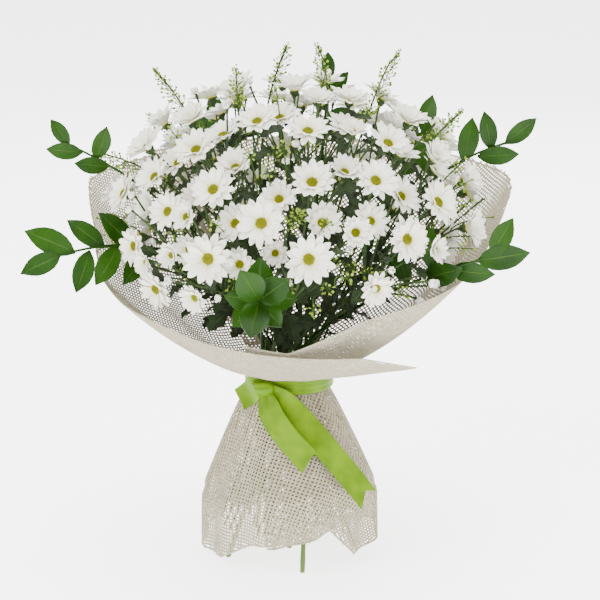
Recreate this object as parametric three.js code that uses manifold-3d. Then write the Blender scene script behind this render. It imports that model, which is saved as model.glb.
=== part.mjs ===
// A hand-tied bunch of white spray chrysanthemums with ruscus and pennycress, in a net wrap.
// The stems are laid in a spiral, cross at the tie and splay below it, so the bunch stands on its cut ends.
// Millimetres, +Z up. The origin is on the ground in the middle of the bunch, whose front faces -Y.
// The pieces are laid out round the axis through the tie and then set over the origin. Azimuths are in
// degrees from the front, positive to the right (+X).
import * as THREE from "three";
import { mergeVertices } from "three/addons/utils/BufferGeometryUtils.js";
import Module from "manifold-3d";

const wasm = await Module();
wasm.setup();

// ---- driving dimensions ----

const TIE_HEIGHT = 188; // where the stems cross, above the cut ends
const AXIS = [4, 8, 0]; // where the stems cross, seen from above, so that the origin is the middle
const DOME = { x: 6, z: 351, radius: 172, height: 128 }; // the dome on which the blooms sit
// The blooms lie in two layers: places before those near a front bloom are left out, share of the
// dome's size, the lowest bloom as a share of its height, the radii and the rays of a bloom.
const LAYERS = [
  { places: 56, lift: 1.02, lowest: -0.16, least: 22, most: 26, petals: 7 },
  { places: 40, lift: 0.89, lowest: -0.06, least: 19.5, most: 23, petals: 5 },
];
// Small blooms fill the gaps: of all these places, those that keep this much room round them.
const FILL = {
  places: 160, lifts: [1.04, 0.97, 0.9], lowest: -0.3, least: 15.5, most: 19.5, petals: 5, room: 0.6,
};
const HUB_RADIUS = 3.2; // where a spray's stalks meet
const STALK_RADIUS = 1.1;
const BELOW_TIE = 0.4; // share of a stem's curve that lies below the tie
const STEM_STEPS = 8; // straight lengths that make up a stem
const GAP = 0.3; // between two pieces that touch

// The blooms that show most, on the front of the dome: across, height, radius and how far the petals
// stand up from flat, in degrees.
const FRONT_BLOOMS = [
  { x: -70, z: 346, radius: 27, cup: 12 },
  { x: -124, z: 303, radius: 23, cup: 12 },
  { x: -142, z: 338, radius: 21, cup: 18 },
  { x: -84, z: 305, radius: 18, cup: 30 },
  { x: -24, z: 380, radius: 26, cup: 14 },
  { x: 19, z: 350, radius: 26, cup: 12 },
  { x: 62, z: 368, radius: 21, cup: 42 },
  { x: 100, z: 356, radius: 25, cup: 12 },
  { x: 82, z: 318, radius: 19, cup: 20 },
  { x: 78, z: 412, radius: 25, cup: 20 },
  { x: 136, z: 386, radius: 25, cup: 16 },
  { x: 24, z: 410, radius: 25, cup: 34 },
  { x: -66, z: 402, radius: 24, cup: 14 },
  { x: -108, z: 382, radius: 21, cup: 16 },
  { x: -154, z: 380, radius: 23, cup: 16 },
  { x: 18, z: 452, radius: 24, cup: 16 },
  { x: -28, z: 458, radius: 23, cup: 20 },
];

// A ring of stems in the spiral. offset is how far each passes from the axis at the tie, slope how far
// it splays per millimetre of height there, and the hub or tip is where it ends above.
const RINGS = {
  core: { count: 1, offset: 0, slope: 0, radius: 2.4 },
  inner: { count: 5, offset: 8.6, slope: 0.18, radius: 2.3 },
  middle: { count: 5, offset: 14.4, slope: 0.26, radius: 1.2 },
  outer: { count: 9, offset: 20.2, slope: 0.34, radius: 2.3 },
  rim: { count: 13, offset: 27, slope: 0.42, radius: 1.5 },
};

// Where the stems of each ring of sprays end: the hub's distance from the axis, its height and the
// height up to which the stem keeps its first slope.
const HUBS = {
  core: { reach: 0, z: 392, keep: 120, turn: 0 },
  inner: { reach: 74, z: 362, keep: 90, turn: 20 },
  outer: { reach: 106, z: 296, keep: 52, turn: 3 },
};

// Stems that are cut short and end inside the wrap, as heights above the ground.
const SHORT_CUT = 34;

// Ruscus: where each branch ends, the height up to which its stem keeps its first slope, its leaves,
// how far they turn up from the branch and how far the flat of them is rolled about it, in degrees. The
// leaves of a whorl stand out all round the tip instead.
const RUSCUS = [
  { name: "left", x: -218, y: -87, z: 332, keep: 172, leaves: 7, leaf: 50, up: -10, roll: -65 },
  { name: "left_top", x: -213, y: -32, z: 429, keep: 170, leaves: 4, leaf: 36, up: 20, roll: -90 },
  { name: "top", x: 40, y: 72, z: 476, keep: 230, leaves: 5, leaf: 32, up: 5, roll: 20, inner: true },
  { name: "right_top", x: 214, y: 3, z: 424, keep: 206, leaves: 6, leaf: 44, up: 20, roll: 90 },
  { name: "right", x: 192, y: -113, z: 338, keep: 80, leaves: 7, leaf: 50, up: 35, roll: 90 },
  { name: "front", x: -26, y: -200, z: 318, keep: 100, leaves: 9, leaf: 42, up: 0, roll: 0, whorl: true },
  { name: "back_right", x: 143, y: 183, z: 402, keep: 60, leaves: 6, leaf: 48, up: 35, roll: 20 },
  { name: "back_left", x: -79, y: 198, z: 402, keep: 130, leaves: 6, leaf: 48, up: 35, roll: -20 },
];

// Pennycress: the tip of each raceme and the length over which it carries pods.
const PENNYCRESS = [
  { x: -128, y: -26, z: 500, pods: 80, keep: 240, inner: true },
  { x: -198, y: 57, z: 404, pods: 66, keep: 205 },
  { x: -50, y: -32, z: 502, pods: 44, keep: 220, inner: true },
  { x: -1, y: 8, z: 518, pods: 50, keep: 210, inner: true },
  { x: 107, y: 6, z: 512, pods: 74, keep: 320, inner: true },
  { x: 166, y: -36, z: 462, pods: 52, keep: 200 },
  { x: 12, y: -179, z: 394, pods: 44, keep: 170 },
  { x: 28, y: -30, z: 524, pods: 56, keep: 280, inner: true },
  { x: 169, y: 103, z: 430, pods: 60, keep: 210 },
  { x: -145, y: 104, z: 434, pods: 60, keep: 240 },
];

// The wrap: two sheets of net, gathered in pleats at the tie, that open to a rim above and a hem below.
const WRAP = {
  neck: 36, // distance of the net from the axis at the tie
  band: 10, // half the height of the straight part at the tie
  pleat: 1.7,
  thickness: 1.2,
  step: 15, // degrees from a pleat to the next
  bow: 1.5, // how much the cone bows out as it rises
  lap: 3.4, // the outer sheet lies this far outside the inner one
  drop: 2.6, // and this far below it above the tie
};

// Edges of the sheets, as azimuth, distance from the axis and height.
const SHEETS = [
  {
    name: "wrap_sheet_inner",
    lap: 0,
    from: -15,
    to: 225,
    rim: [
      [-15, 159, 263], [0, 155, 256], [25, 168, 285], [42, 183, 299], [60, 189, 311], [90, 219, 366],
      [110, 236, 379], [140, 224, 390], [180, 211, 394], [220, 212, 390],
    ],
    hem: [[-10, 82, 30], [30, 84, 46], [50, 85, 14], [90, 88, 22], [180, 86, 18], [220, 84, 18]],
  },
  {
    name: "wrap_sheet_outer",
    lap: 1,
    from: -150,
    to: 60,
    rim: [
      [-150, 212, 390], [-110, 214, 378], [-90, 192, 342], [-75, 185, 308], [-60, 176, 288], [-45, 167, 276],
      [-30, 162, 265], [0, 155, 256], [25, 162, 251], [60, 138, 219],
    ],
    hem: [[-150, 90, 18], [-90, 84, 14], [-50, 84, 12], [-25, 88, 34], [0, 89, 40], [20, 91, 50], [60, 95, 58]],
  },
];

// The ribbon: a band at the tie with a knot in front and three tails, each as a path of azimuth and height.
const RIBBON = {
  width: 25,
  thickness: 0.9,
  reach: 43.4,
  bandHeight: 15,
  z: 186.5,
  knot: { azimuth: -32, size: [13, 9, 8.5] },
  tails: [
    [[-32, 190], [-44, 184], [-56, 176], [-66, 168]],
    [[-32, 186], [-15, 179], [2, 168], [21, 145], [35, 115], [43, 88]],
    [[-32, 184], [-18, 164], [-2, 144], [13, 124]],
  ],
};

const POD = { length: 14, radius: 3, spacing: 6.4 };

const TWINE = { reach: 29.5, thick: 3, turns: 3 };

// ---- small tools ----

const rad = THREE.MathUtils.degToRad;
const UP = new THREE.Vector3(0, 0, 1);
const TIE = new THREE.Vector3(0, 0, TIE_HEIGHT);
const GOLDEN_ANGLE = 180 * (3 - Math.sqrt(5));

// A number from 0 to 1 that depends only on its seed.
function chance(seed) {
  const value = Math.sin(seed * 12.9898 + 4.1414) * 43758.5453;
  return value - Math.floor(value);
}

function around(azimuth, reach, z) {
  return new THREE.Vector3(reach * Math.sin(rad(azimuth)), -reach * Math.cos(rad(azimuth)), z);
}

function azimuthOf(point) {
  return THREE.MathUtils.radToDeg(Math.atan2(point.x, -point.y));
}

function toSolid(geometry) {
  geometry.deleteAttribute("normal");
  geometry.deleteAttribute("uv");
  const merged = mergeVertices(geometry, 1e-3);
  const mesh = new wasm.Mesh({
    numProp: 3,
    vertProperties: merged.attributes.position.array,
    triVerts: new Uint32Array(merged.index.array),
  });
  return new wasm.Manifold(mesh);
}

function toGeometry(solid) {
  const mesh = solid.getMesh();
  const geometry = new THREE.BufferGeometry();
  geometry.setAttribute("position", new THREE.BufferAttribute(mesh.vertProperties, 3));
  geometry.setIndex(new THREE.BufferAttribute(mesh.triVerts, 1));
  const faceted = geometry.toNonIndexed();
  faceted.computeVertexNormals();
  return faceted;
}

function fromFaces(points, faces) {
  const geometry = new THREE.BufferGeometry().setFromPoints(points);
  geometry.setIndex(faces.flat());
  return toSolid(geometry);
}

const fuse = (solids) => wasm.Manifold.union(solids);

function polygon(radius, sides) {
  const corners = [];
  for (let i = 0; i < sides; i++) {
    const turn = (2 * Math.PI * i) / sides;
    corners.push(new THREE.Vector2(radius * Math.cos(turn), radius * Math.sin(turn)));
  }
  return new THREE.Shape(corners);
}

// A round stem of few sides along a curve.
function tube(curve, radius, sides, steps) {
  return toSolid(
    new THREE.ExtrudeGeometry(polygon(radius, sides), { steps, extrudePath: curve, bevelEnabled: false }),
  );
}

// Right-handed axes with z along a direction, turned about it by spin.
function axesAlong(direction, spin = 0) {
  const z = direction.clone().normalize();
  const side = Math.abs(z.z) > 0.95 ? new THREE.Vector3(1, 0, 0) : UP.clone().cross(z).normalize();
  const x = side.applyAxisAngle(z, spin);
  return new THREE.Matrix4().makeBasis(x, z.clone().cross(x), z);
}

// ---- the spiral of stems ----

// A stem lies in an upright plane that passes the axis at its ring's offset: straight through the tie,
// then bending out to its end. Stems of one ring never meet.
class SpiralStem extends THREE.Curve {
  constructor(ring, end, keep) {
    super();
    this.slope = ring.slope;
    this.keep = keep;
    this.rise = end.z - TIE_HEIGHT;
    this.across = Math.sqrt(Math.max(0, end.x ** 2 + end.y ** 2 - ring.offset ** 2));
    this.slot = azimuthOf(end) - THREE.MathUtils.radToDeg(Math.atan2(this.across, ring.offset));
    this.near = around(this.slot, ring.offset, TIE_HEIGHT);
    this.away = around(this.slot + 90, 1, 0);
  }

  // t is 0 below the ground, BELOW_TIE at the tie and 1 at the end.
  getPoint(t, target = new THREE.Vector3()) {
    let g;
    let h;
    if (t < BELOW_TIE) {
      h = (t / BELOW_TIE - 1) * (TIE_HEIGHT + 8);
      g = this.slope * h;
    } else {
      const s = (t - BELOW_TIE) / (1 - BELOW_TIE);
      const middle = 2 * s * (1 - s);
      h = middle * this.keep + s * s * this.rise;
      g = middle * this.slope * this.keep + s * s * this.across;
    }
    return target.copy(this.near).addScaledVector(this.away, g).addScaledVector(UP, h);
  }
}

// The point and the direction of a stem at a distance before its end.
function before(stem, distance) {
  const points = stem.getSpacedPoints(STEM_STEPS);
  let left = distance;
  for (let i = STEM_STEPS; i > 0; i--) {
    const along = points[i].clone().sub(points[i - 1]);
    const length = along.length();
    if (left <= length) {
      return { point: points[i].addScaledVector(along, -left / length), along: along.normalize() };
    }
    left -= length;
  }
  return { point: points[0], along: points[1].clone().sub(points[0]).normalize() };
}

// A stem of a few sides with its foot cut level.
function stemSolid(stem, radius, sides, cut) {
  return tube(stem, radius, sides, STEM_STEPS).trimByPlane([0, 0, 1], cut);
}

// ---- wrap ----

// A value at an azimuth from a list of rows that start with their azimuth, or the last beyond its ends.
function atAzimuth(rows, azimuth, column) {
  const next = rows.findIndex((row) => row[0] > azimuth);
  if (next === 0) return rows[0][column];
  if (next < 0) return rows.at(-1)[column];
  const share = (azimuth - rows[next - 1][0]) / (rows[next][0] - rows[next - 1][0]);
  return THREE.MathUtils.lerp(rows[next - 1][column], rows[next][column], share);
}

// Height and distance from the axis of a sheet: level is -2 at the hem, -1 to 1 at the tie, 2 at the rim.
function netPoint(sheet, azimuth, level) {
  const fold = Math.round(azimuth / WRAP.step) % 2 ? 1 : -1;
  const share = Math.max(0, Math.abs(level) - 1);
  const base = WRAP.neck + WRAP.lap * sheet.lap;
  if (level < 0) {
    const flare = Math.min(1, share / 0.68) ** 0.9;
    const wave = 2.5 * Math.sin(rad(azimuth) * 5 + 1) * share;
    const reach = THREE.MathUtils.lerp(base, atAzimuth(sheet.hem, azimuth, 1) + WRAP.lap * sheet.lap, flare);
    const z = THREE.MathUtils.lerp(TIE_HEIGHT - WRAP.band, atAzimuth(sheet.hem, azimuth, 2), share);
    return around(azimuth, reach + wave + WRAP.pleat * fold * (1 + 0.6 * share), z);
  }
  const wave = 3 * Math.sin(rad(azimuth) * 6 + 2) * share;
  const reach = THREE.MathUtils.lerp(base, atAzimuth(sheet.rim, azimuth, 1) + WRAP.lap * sheet.lap, share);
  const z = THREE.MathUtils.lerp(TIE_HEIGHT + WRAP.band, atAzimuth(sheet.rim, azimuth, 2), share ** WRAP.bow);
  return around(azimuth, reach + wave + WRAP.pleat * fold * (1 - share) ** 2, z - WRAP.drop * sheet.lap);
}

// A closed sheet of even thickness over a grid of points, split alike on both faces.
function sheetSolid(grid, thickness) {
  const across = grid[0].length;
  const inside = (i, count) => THREE.MathUtils.clamp(i, 0, count - 1);
  const pick = (i, j) => grid[inside(i, grid.length)][inside(j, across)];
  const points = [];
  for (const side of [0.5, -0.5]) {
    for (let i = 0; i < grid.length; i++) {
      for (let j = 0; j < across; j++) {
        const wide = pick(i + 1, j).clone().sub(pick(i - 1, j));
        const high = pick(i, j + 1).clone().sub(pick(i, j - 1));
        const normal = wide.cross(high).normalize();
        points.push(grid[i][j].clone().addScaledVector(normal, side * thickness));
      }
    }
  }
  const id = (side, i, j) => side * grid.length * across + i * across + j;
  const faces = [];
  for (let i = 0; i + 1 < grid.length; i++) {
    for (let j = 0; j + 1 < across; j++) {
      faces.push([id(0, i, j), id(0, i + 1, j), id(0, i + 1, j + 1)]);
      faces.push([id(0, i, j), id(0, i + 1, j + 1), id(0, i, j + 1)]);
      faces.push([id(1, i, j), id(1, i + 1, j + 1), id(1, i + 1, j)]);
      faces.push([id(1, i, j), id(1, i, j + 1), id(1, i + 1, j + 1)]);
    }
  }
  const edge = [];
  for (let i = 0; i < grid.length; i++) edge.push([i, 0]);
  for (let j = 1; j < across; j++) edge.push([grid.length - 1, j]);
  for (let i = grid.length - 2; i >= 0; i--) edge.push([i, across - 1]);
  for (let j = across - 2; j > 0; j--) edge.push([0, j]);
  edge.forEach(([i, j], k) => {
    const [ni, nj] = edge[(k + 1) % edge.length];
    faces.push([id(1, i, j), id(1, ni, nj), id(0, ni, nj)]);
    faces.push([id(1, i, j), id(0, ni, nj), id(0, i, j)]);
  });
  return fromFaces(points, faces);
}

function wrapSolid(sheet) {
  const levels = [-2, -1.68, -1.3, -1, 1, 1.25, 1.5, 1.75, 2];
  const grid = [];
  for (let azimuth = sheet.from; azimuth <= sheet.to; azimuth += WRAP.step) {
    grid.push(levels.map((level) => netPoint(sheet, azimuth, level)));
  }
  return sheetSolid(grid, WRAP.thickness);
}

// ---- ribbon and twine ----

// Distance from the axis of the outer sheet's skirt at a height.
function skirtReach(azimuth, z) {
  const outer = SHEETS[1];
  const bottom = atAzimuth(outer.hem, azimuth, 2);
  const share = THREE.MathUtils.clamp((TIE_HEIGHT - WRAP.band - z) / (TIE_HEIGHT - WRAP.band - bottom), 0, 1);
  const point = netPoint(outer, azimuth, -1 - share);
  return Math.hypot(point.x, point.y);
}

// A ring of a profile of [distance, height] points round the axis.
function ringSolid(profile, sides) {
  const outline = [...profile, profile[0]].map(([reach, z]) => new THREE.Vector2(reach, z));
  return toSolid(new THREE.LatheGeometry(outline, sides).rotateX(Math.PI / 2));
}

function tailSolid(path) {
  const points = path.map(([azimuth, z], i) =>
    around(azimuth, Math.max(RIBBON.reach + 2, skirtReach(azimuth, z) + 7 + i), z));
  const curve = new THREE.CatmullRomCurve3(points);
  const steps = 2 * (path.length - 1);
  const grid = [];
  for (let k = 0; k <= steps; k++) {
    const share = k / steps;
    const centre = curve.getPoint(share);
    const along = curve.getTangent(share);
    const out = new THREE.Vector3(centre.x, centre.y, 0).normalize();
    const side = out.clone().cross(along).normalize();
    const half = (RIBBON.width / 2) * Math.min(1, 0.45 + 2.2 * share);
    grid.push([-1, 0, 1].map((edge) => {
      const cut = share === 1 && edge === 0 ? 8 : 0;
      return centre.clone().addScaledVector(side, edge * half).addScaledVector(along, cut);
    }));
  }
  return sheetSolid(grid, RIBBON.thickness);
}

function ribbonSolid() {
  const { reach, thickness, bandHeight, z, knot } = RIBBON;
  const low = z - bandHeight / 2;
  const high = z + bandHeight / 2;
  const between = (near, far, extra) =>
    ringSolid([[near, low - extra], [far, low - extra], [far, high + extra], [near, high + extra]], 20);
  const band = between(reach, reach + thickness, 0);
  const knotPlace = around(knot.azimuth, reach + 5, z);
  const knotSolid = toSolid(new THREE.SphereGeometry(1, 7, 5).scale(...knot.size).rotateZ(rad(knot.azimuth)))
    .translate(knotPlace.toArray());
  const cleared = knotSolid.subtract(between(0.01, reach, 20));
  return fuse([band, cleared, ...RIBBON.tails.map(tailSolid)]);
}

function twineSolid() {
  const { reach, thick, turns } = TWINE;
  const outer = [];
  for (let k = 0; k < turns; k++) {
    const low = TIE_HEIGHT + (k - turns / 2) * thick;
    outer.push([reach + 0.5 * thick, low], [reach + thick, low + 0.5 * thick]);
  }
  const top = TIE_HEIGHT + (turns / 2) * thick;
  const bottom = TIE_HEIGHT - (turns / 2) * thick;
  const profile = [...outer, [reach + 0.5 * thick, top], [reach, top], [reach, bottom]];
  return ringSolid(profile, 16);
}

// ---- blooms ----

function domePoint(bloom) {
  const level = Math.sqrt(Math.max(0, 1 - bloom.s * bloom.s));
  const place = around(bloom.azimuth, DOME.radius * level, DOME.height * bloom.s);
  return place.multiplyScalar(bloom.lift).add(new THREE.Vector3(DOME.x, 0, DOME.z));
}

// The place on the dome in the direction of a point, no lower than its lowest row of blooms.
function onDome(point, lift, lowest) {
  const unit = point.clone().sub(new THREE.Vector3(DOME.x, 0, DOME.z));
  unit.divide(new THREE.Vector3(DOME.radius, DOME.radius, DOME.height)).normalize();
  const s = Math.max(unit.z, lowest);
  const azimuth = azimuthOf(unit);
  return domePoint({ azimuth, s, lift });
}

function facing(point, seed) {
  const normal = new THREE.Vector3(
    (point.x - DOME.x) / DOME.radius ** 2,
    point.y / DOME.radius ** 2,
    (point.z - DOME.z) / DOME.height ** 2,
  ).normalize();
  normal.z += 0.2;
  normal.x += 0.24 * (chance(seed + 0.1) - 0.5);
  normal.y += 0.24 * (chance(seed + 0.2) - 0.5) - 0.12;
  return normal.normalize();
}

// Distance of the net from the axis at a height, or endless above the rim.
function netReach(azimuth, z) {
  const turn = azimuth < -135 ? azimuth + 360 : azimuth;
  const { rim } = SHEETS[turn < -15 ? 1 : 0];
  const low = TIE_HEIGHT + WRAP.band;
  const share = Math.max(0, (z - low) / (atAzimuth(rim, turn, 2) - low));
  if (share > 1) return Infinity;
  return THREE.MathUtils.lerp(WRAP.neck, atAzimuth(rim, turn, 1), share ** (1 / WRAP.bow));
}

function keepInWrap(at, radius) {
  const room = netReach(azimuthOf(at), at.z - 0.8 * radius) - 0.6 * radius - 7;
  const reach = Math.hypot(at.x, at.y);
  if (reach <= room) return;
  at.x *= room / reach;
  at.y *= room / reach;
}

// The least distance between two blooms: side by side in one layer, but clear only of the stalk
// between the layers.
function leastApart(one, two) {
  if (one.layer === two.layer) return one.radius + two.radius + 1.4;
  return Math.min(one.radius, two.radius) + 6;
}

// The blooms: those in front by hand, the rest by the golden angle, then pushed apart until they clear.
function layBlooms() {
  const blooms = FRONT_BLOOMS.map((front) => {
    const s = (front.z - DOME.z) / DOME.height;
    const level = DOME.radius * Math.sqrt(1 - s * s);
    const azimuth = THREE.MathUtils.radToDeg(Math.asin((front.x - DOME.x) / level));
    const { lift } = LAYERS[0];
    return { ...front, layer: 0, petals: 7, lift, yields: 0.1, lowest: s, at: domePoint({ azimuth, s, lift }) };
  });
  LAYERS.forEach(({ places, lift, lowest, least, most, petals }, layer) => {
    for (let k = 0; k < places; k++) {
      const seed = k + 100 * layer;
      const s = 1 - ((k + 0.5) / places) * (1 - lowest);
      const at = domePoint({ azimuth: k * GOLDEN_ANGLE + 70 * layer, s, lift });
      const radius = THREE.MathUtils.lerp(least, most, chance(seed + 0.6));
      const cup = 20 + 30 * chance(seed + 0.9) ** 2;
      const bloom = { radius, cup, layer, petals, lift, yields: 1, lowest, at };
      const held = blooms.filter((other) => other.yields < 1);
      if (held.every((other) => other.at.distanceTo(at) > 0.8 * leastApart(bloom, other))) blooms.push(bloom);
    }
  });
  for (let round = 0; round < 200; round++) {
    for (let i = 0; i < blooms.length; i++) {
      for (let j = i + 1; j < blooms.length; j++) {
        const one = blooms[i];
        const two = blooms[j];
        const normal = facing(one.at, 0);
        const between = two.at.clone().sub(one.at);
        if (one.layer !== two.layer) between.addScaledVector(normal, -between.dot(normal));
        const missing = leastApart(one, two) - between.length();
        if (missing <= 0) continue;
        between.setLength(0.5 * missing);
        one.at.addScaledVector(between, -one.yields);
        two.at.addScaledVector(between, two.yields);
      }
    }
    for (const bloom of blooms) {
      bloom.at.copy(onDome(bloom.at, bloom.lift, bloom.lowest));
      keepInWrap(bloom.at, bloom.radius);
    }
  }
  blooms.forEach(dress);
  return blooms;
}

function dress(bloom, seed) {
  bloom.normal = facing(bloom.at, seed);
  bloom.spin = 2 * Math.PI * chance(seed + 0.7);
  bloom.seed = seed;
}

function stalkCurve(hub, bloom) {
  const foot = bloom.at.clone().addScaledVector(bloom.normal, -0.3 * bloom.radius);
  const bend = bloom.at.clone().addScaledVector(bloom.normal, -0.9 * bloom.radius);
  return new THREE.QuadraticBezierCurve3(hub, bend, foot);
}

// A bloom of broad blunt rays round a raised disc, each ray folded up along its middle. Behind it the
// calyx narrows to the stalk, which runs to the hub of its spray.
function bloomSolid(bloom, hub) {
  const { radius, cup, seed, petals } = bloom;
  const tilt = rad(cup);
  const edge = 0.26 * radius;
  const half = (2.3 / petals) * radius * (0.5 + 0.5 * Math.cos(tilt));
  const step = (2 * Math.PI) / petals;
  const place = axesAlong(bloom.normal, bloom.spin).setPosition(bloom.at);
  const points = [];
  const ray = (turn, along, side, raise) => {
    const out = edge + along * Math.cos(tilt);
    const x = out * Math.cos(turn) - side * Math.sin(turn);
    const y = out * Math.sin(turn) + side * Math.cos(turn);
    points.push(new THREE.Vector3(x, y, along * Math.sin(tilt) + raise).applyMatrix4(place));
  };
  for (let i = 0; i < petals; i++) {
    const turn = (i + 0.5) * step;
    const long = (radius - edge) * (0.92 + 0.12 * chance(seed + i * 0.37));
    ray(i * step, 0, 0, 0.6);
    ray(i * step, 0, 0, -0.8);
    ray(turn, long, -half, 0);
    ray(turn, long, half, 0);
    ray(turn, 0.72 * long, 0, 1.4);
  }
  const apex = points.push(new THREE.Vector3(0, 0, 0.16 * radius).applyMatrix4(place)) - 1;
  const faces = [];
  for (let i = 0; i < petals; i++) {
    const [top, under, left, right, ridge] = [0, 1, 2, 3, 4].map((k) => 5 * i + k);
    const nextTop = 5 * ((i + 1) % petals);
    const nextUnder = nextTop + 1;
    faces.push([ridge, top, left], [ridge, left, right], [ridge, right, nextTop], [ridge, nextTop, top]);
    faces.push([apex, top, nextTop], [under, left, top], [nextUnder, nextTop, right]);
    faces.push([under, nextUnder, right], [under, right, left]);
  }
  // the calyx gathers the rays into three corners, from which the stalk runs down
  const stalk = stalkCurve(hub, bloom);
  const corners = [1, 0.5].map((share) => {
    const centre = stalk.getPoint(share);
    const axes = axesAlong(bloom.normal, bloom.spin);
    return [0, 1, 2].map((k) => {
      const turn = (2 * Math.PI * k) / 3 + 0.5 * step;
      const corner = new THREE.Vector3(Math.cos(turn), Math.sin(turn), 0).multiplyScalar(STALK_RADIUS);
      return points.push(corner.applyMatrix4(axes).add(centre)) - 1;
    });
  });
  const nearest = (i) => Math.floor((3 * i) / petals + 1e-6) % 3;
  for (let i = 0; i < petals; i++) {
    const under = 5 * i + 1;
    const nextUnder = 5 * ((i + 1) % petals) + 1;
    const corner = corners[0][nearest(i)];
    const nextCorner = corners[0][nearest((i + 1) % petals)];
    faces.push([nextUnder, under, corner]);
    if (corner !== nextCorner) faces.push([nextUnder, corner, nextCorner]);
  }
  const root = points.push(hub.clone()) - 1;
  for (let k = 0; k < 3; k++) {
    const next = (k + 1) % 3;
    const [high, low] = corners;
    faces.push([high[next], high[k], low[k]], [high[next], low[k], low[next]], [low[next], low[k], root]);
  }
  return fromFaces(points, faces);
}

// ---- leaves ----

// The points of a thin blade folded along its rib. Stations are rows of the share of the length, the
// half width as a share of the width and the forward shift of the edge.
function bladeRows({ root, direction, face, length, width, stations, fold, arch, thickness }) {
  const z = direction.clone().normalize();
  const x = z.clone().cross(face).normalize();
  const y = x.clone().cross(z);
  const at = (along, side, raise) =>
    root.clone()
      .addScaledVector(z, along * length)
      .addScaledVector(x, side * width)
      .addScaledVector(y, raise + arch * length * along * (1 - along));
  return stations.map(([along, half, shift]) => {
    if (!half) return [at(along, 0, 0)];
    const raise = fold * half * width;
    return [
      at(along + shift, -half, raise),
      at(along, 0, -thickness / 2),
      at(along + shift, half, raise),
      at(along, 0, thickness / 2),
    ];
  });
}

function bladeSolid(blade) {
  const rows = bladeRows(blade);
  const faces = [];
  let start = 0;
  for (let k = 0; k + 1 < rows.length; k++) {
    const next = start + rows[k].length;
    for (let i = 0; i < 4; i++) {
      const j = (i + 1) % 4;
      if (rows[k].length === 1) faces.push([start, next + i, next + j]);
      else if (rows[k + 1].length === 1) faces.push([start + j, start + i, next]);
      else faces.push([start + i, next + i, next + j], [start + i, next + j, start + j]);
    }
    start = next;
  }
  return fromFaces(rows.flat(), faces);
}

const LOBED = [[0, 0, 0], [0.3, 0.42, 0.06], [0.45, 0.2, 0], [0.66, 0.5, 0.08], [1, 0, 0]];
const OVAL = [[0, 0, 0], [0.26, 0.42, 0], [0.55, 0.5, 0], [0.82, 0.28, 0], [1, 0, 0]];
const RUSCUS_LEAF = { spacing: 15, whorlSpacing: 5, fold: 0.16, arch: 0.12, thickness: 1.1, stations: OVAL };
const SPRAY_LEAF = { length: 40, width: 22, fold: 0.2, arch: 0.1, thickness: 1.2, stations: LOBED };

// ---- keeping leaves and pods clear ----

// What is already in the bunch, as balls along the stalks and stems and as the discs of the blooms.
const balls = [];
const discs = [];

function addBall(centre, radius, owner) {
  balls.push({ centre, radius, owner });
}

// Where a leaf is tested: its edge and rib, and half-way from its root.
function bladeProbes(leaf) {
  const [[root], first, ...others] = bladeRows(leaf);
  const between = first.map((point) => point.clone().lerp(root, 0.5));
  return [...between, ...first, ...others.flat()];
}

function noteBlade(leaf, owner) {
  for (const point of bladeProbes(leaf)) addBall(point, 3, owner);
}

// How far all of a leaf's or pod's points stay clear of the bunch and inside the wrap.
function clearance(points, owner) {
  let least = Infinity;
  let isInside = false;
  let isOutside = false;
  for (const point of points) {
    for (const ball of balls) {
      if (ball.owner !== owner) least = Math.min(least, ball.centre.distanceTo(point) - ball.radius);
    }
    for (const { at, normal, radius, lift } of discs) {
      const from = point.clone().sub(at);
      const height = from.dot(normal);
      const out = Math.sqrt(Math.max(0, from.lengthSq() - height * height));
      least = Math.min(least, Math.max(out - radius, Math.abs(height - lift / 2 + 3) - lift / 2 - 7));
    }
    const room = netReach(azimuthOf(point), point.z) - Math.hypot(point.x, point.y);
    if (room === Infinity) continue;
    least = Math.min(least, Math.abs(room) - 3);
    if (room > 0) isInside = true;
    else isOutside = true;
  }
  return isInside && isOutside ? -1 : least;
}

// ---- sprays ----

function layHubs() {
  const hubs = [];
  for (const [name, hub] of Object.entries(HUBS)) {
    const ring = RINGS[name];
    for (let i = 0; i < ring.count; i++) {
      const end = around(hub.turn + (360 / ring.count) * i, hub.reach, hub.z);
      hubs.push({ ring, end, keep: hub.keep, blooms: [], outer: name === "outer", index: hubs.length });
    }
  }
  return hubs;
}

// The spray whose hub lies nearest to the way from the tie to a bloom.
function sprayOf(bloom, hubs) {
  const towards = bloom.at.clone().sub(TIE).normalize();
  const nearness = (hub) => hub.end.clone().sub(TIE).normalize().dot(towards);
  return hubs.reduce((best, hub) => (nearness(hub) > nearness(best) ? hub : best));
}

function makeSprays() {
  const hubs = layHubs();
  for (const bloom of layBlooms()) sprayOf(bloom, hubs).blooms.push(bloom);
  return hubs;
}

function clusterSolid(spray) {
  const hub = toSolid(new THREE.OctahedronGeometry(HUB_RADIUS)).translate(spray.end.toArray());
  return fuse([hub, ...spray.blooms.map((bloom) => bloomSolid(bloom, spray.end))]);
}

function noteStem(stem, radius) {
  for (const point of stem.getSpacedPoints(60).slice(24)) addBall(point, radius + 1.5, stem);
}

function noteBloom(spray, bloom) {
  const { at, normal, radius, cup } = bloom;
  discs.push({ at, normal, radius, lift: 0.7 * radius * Math.sin(rad(cup)) });
  const stalk = stalkCurve(spray.end, bloom);
  for (let k = 1; k < 12; k++) addBall(stalk.getPoint(k / 12), 4, spray);
}

function noteCluster(spray) {
  addBall(spray.end, HUB_RADIUS + 1, spray);
  for (const bloom of spray.blooms) noteBloom(spray, bloom);
}

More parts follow.
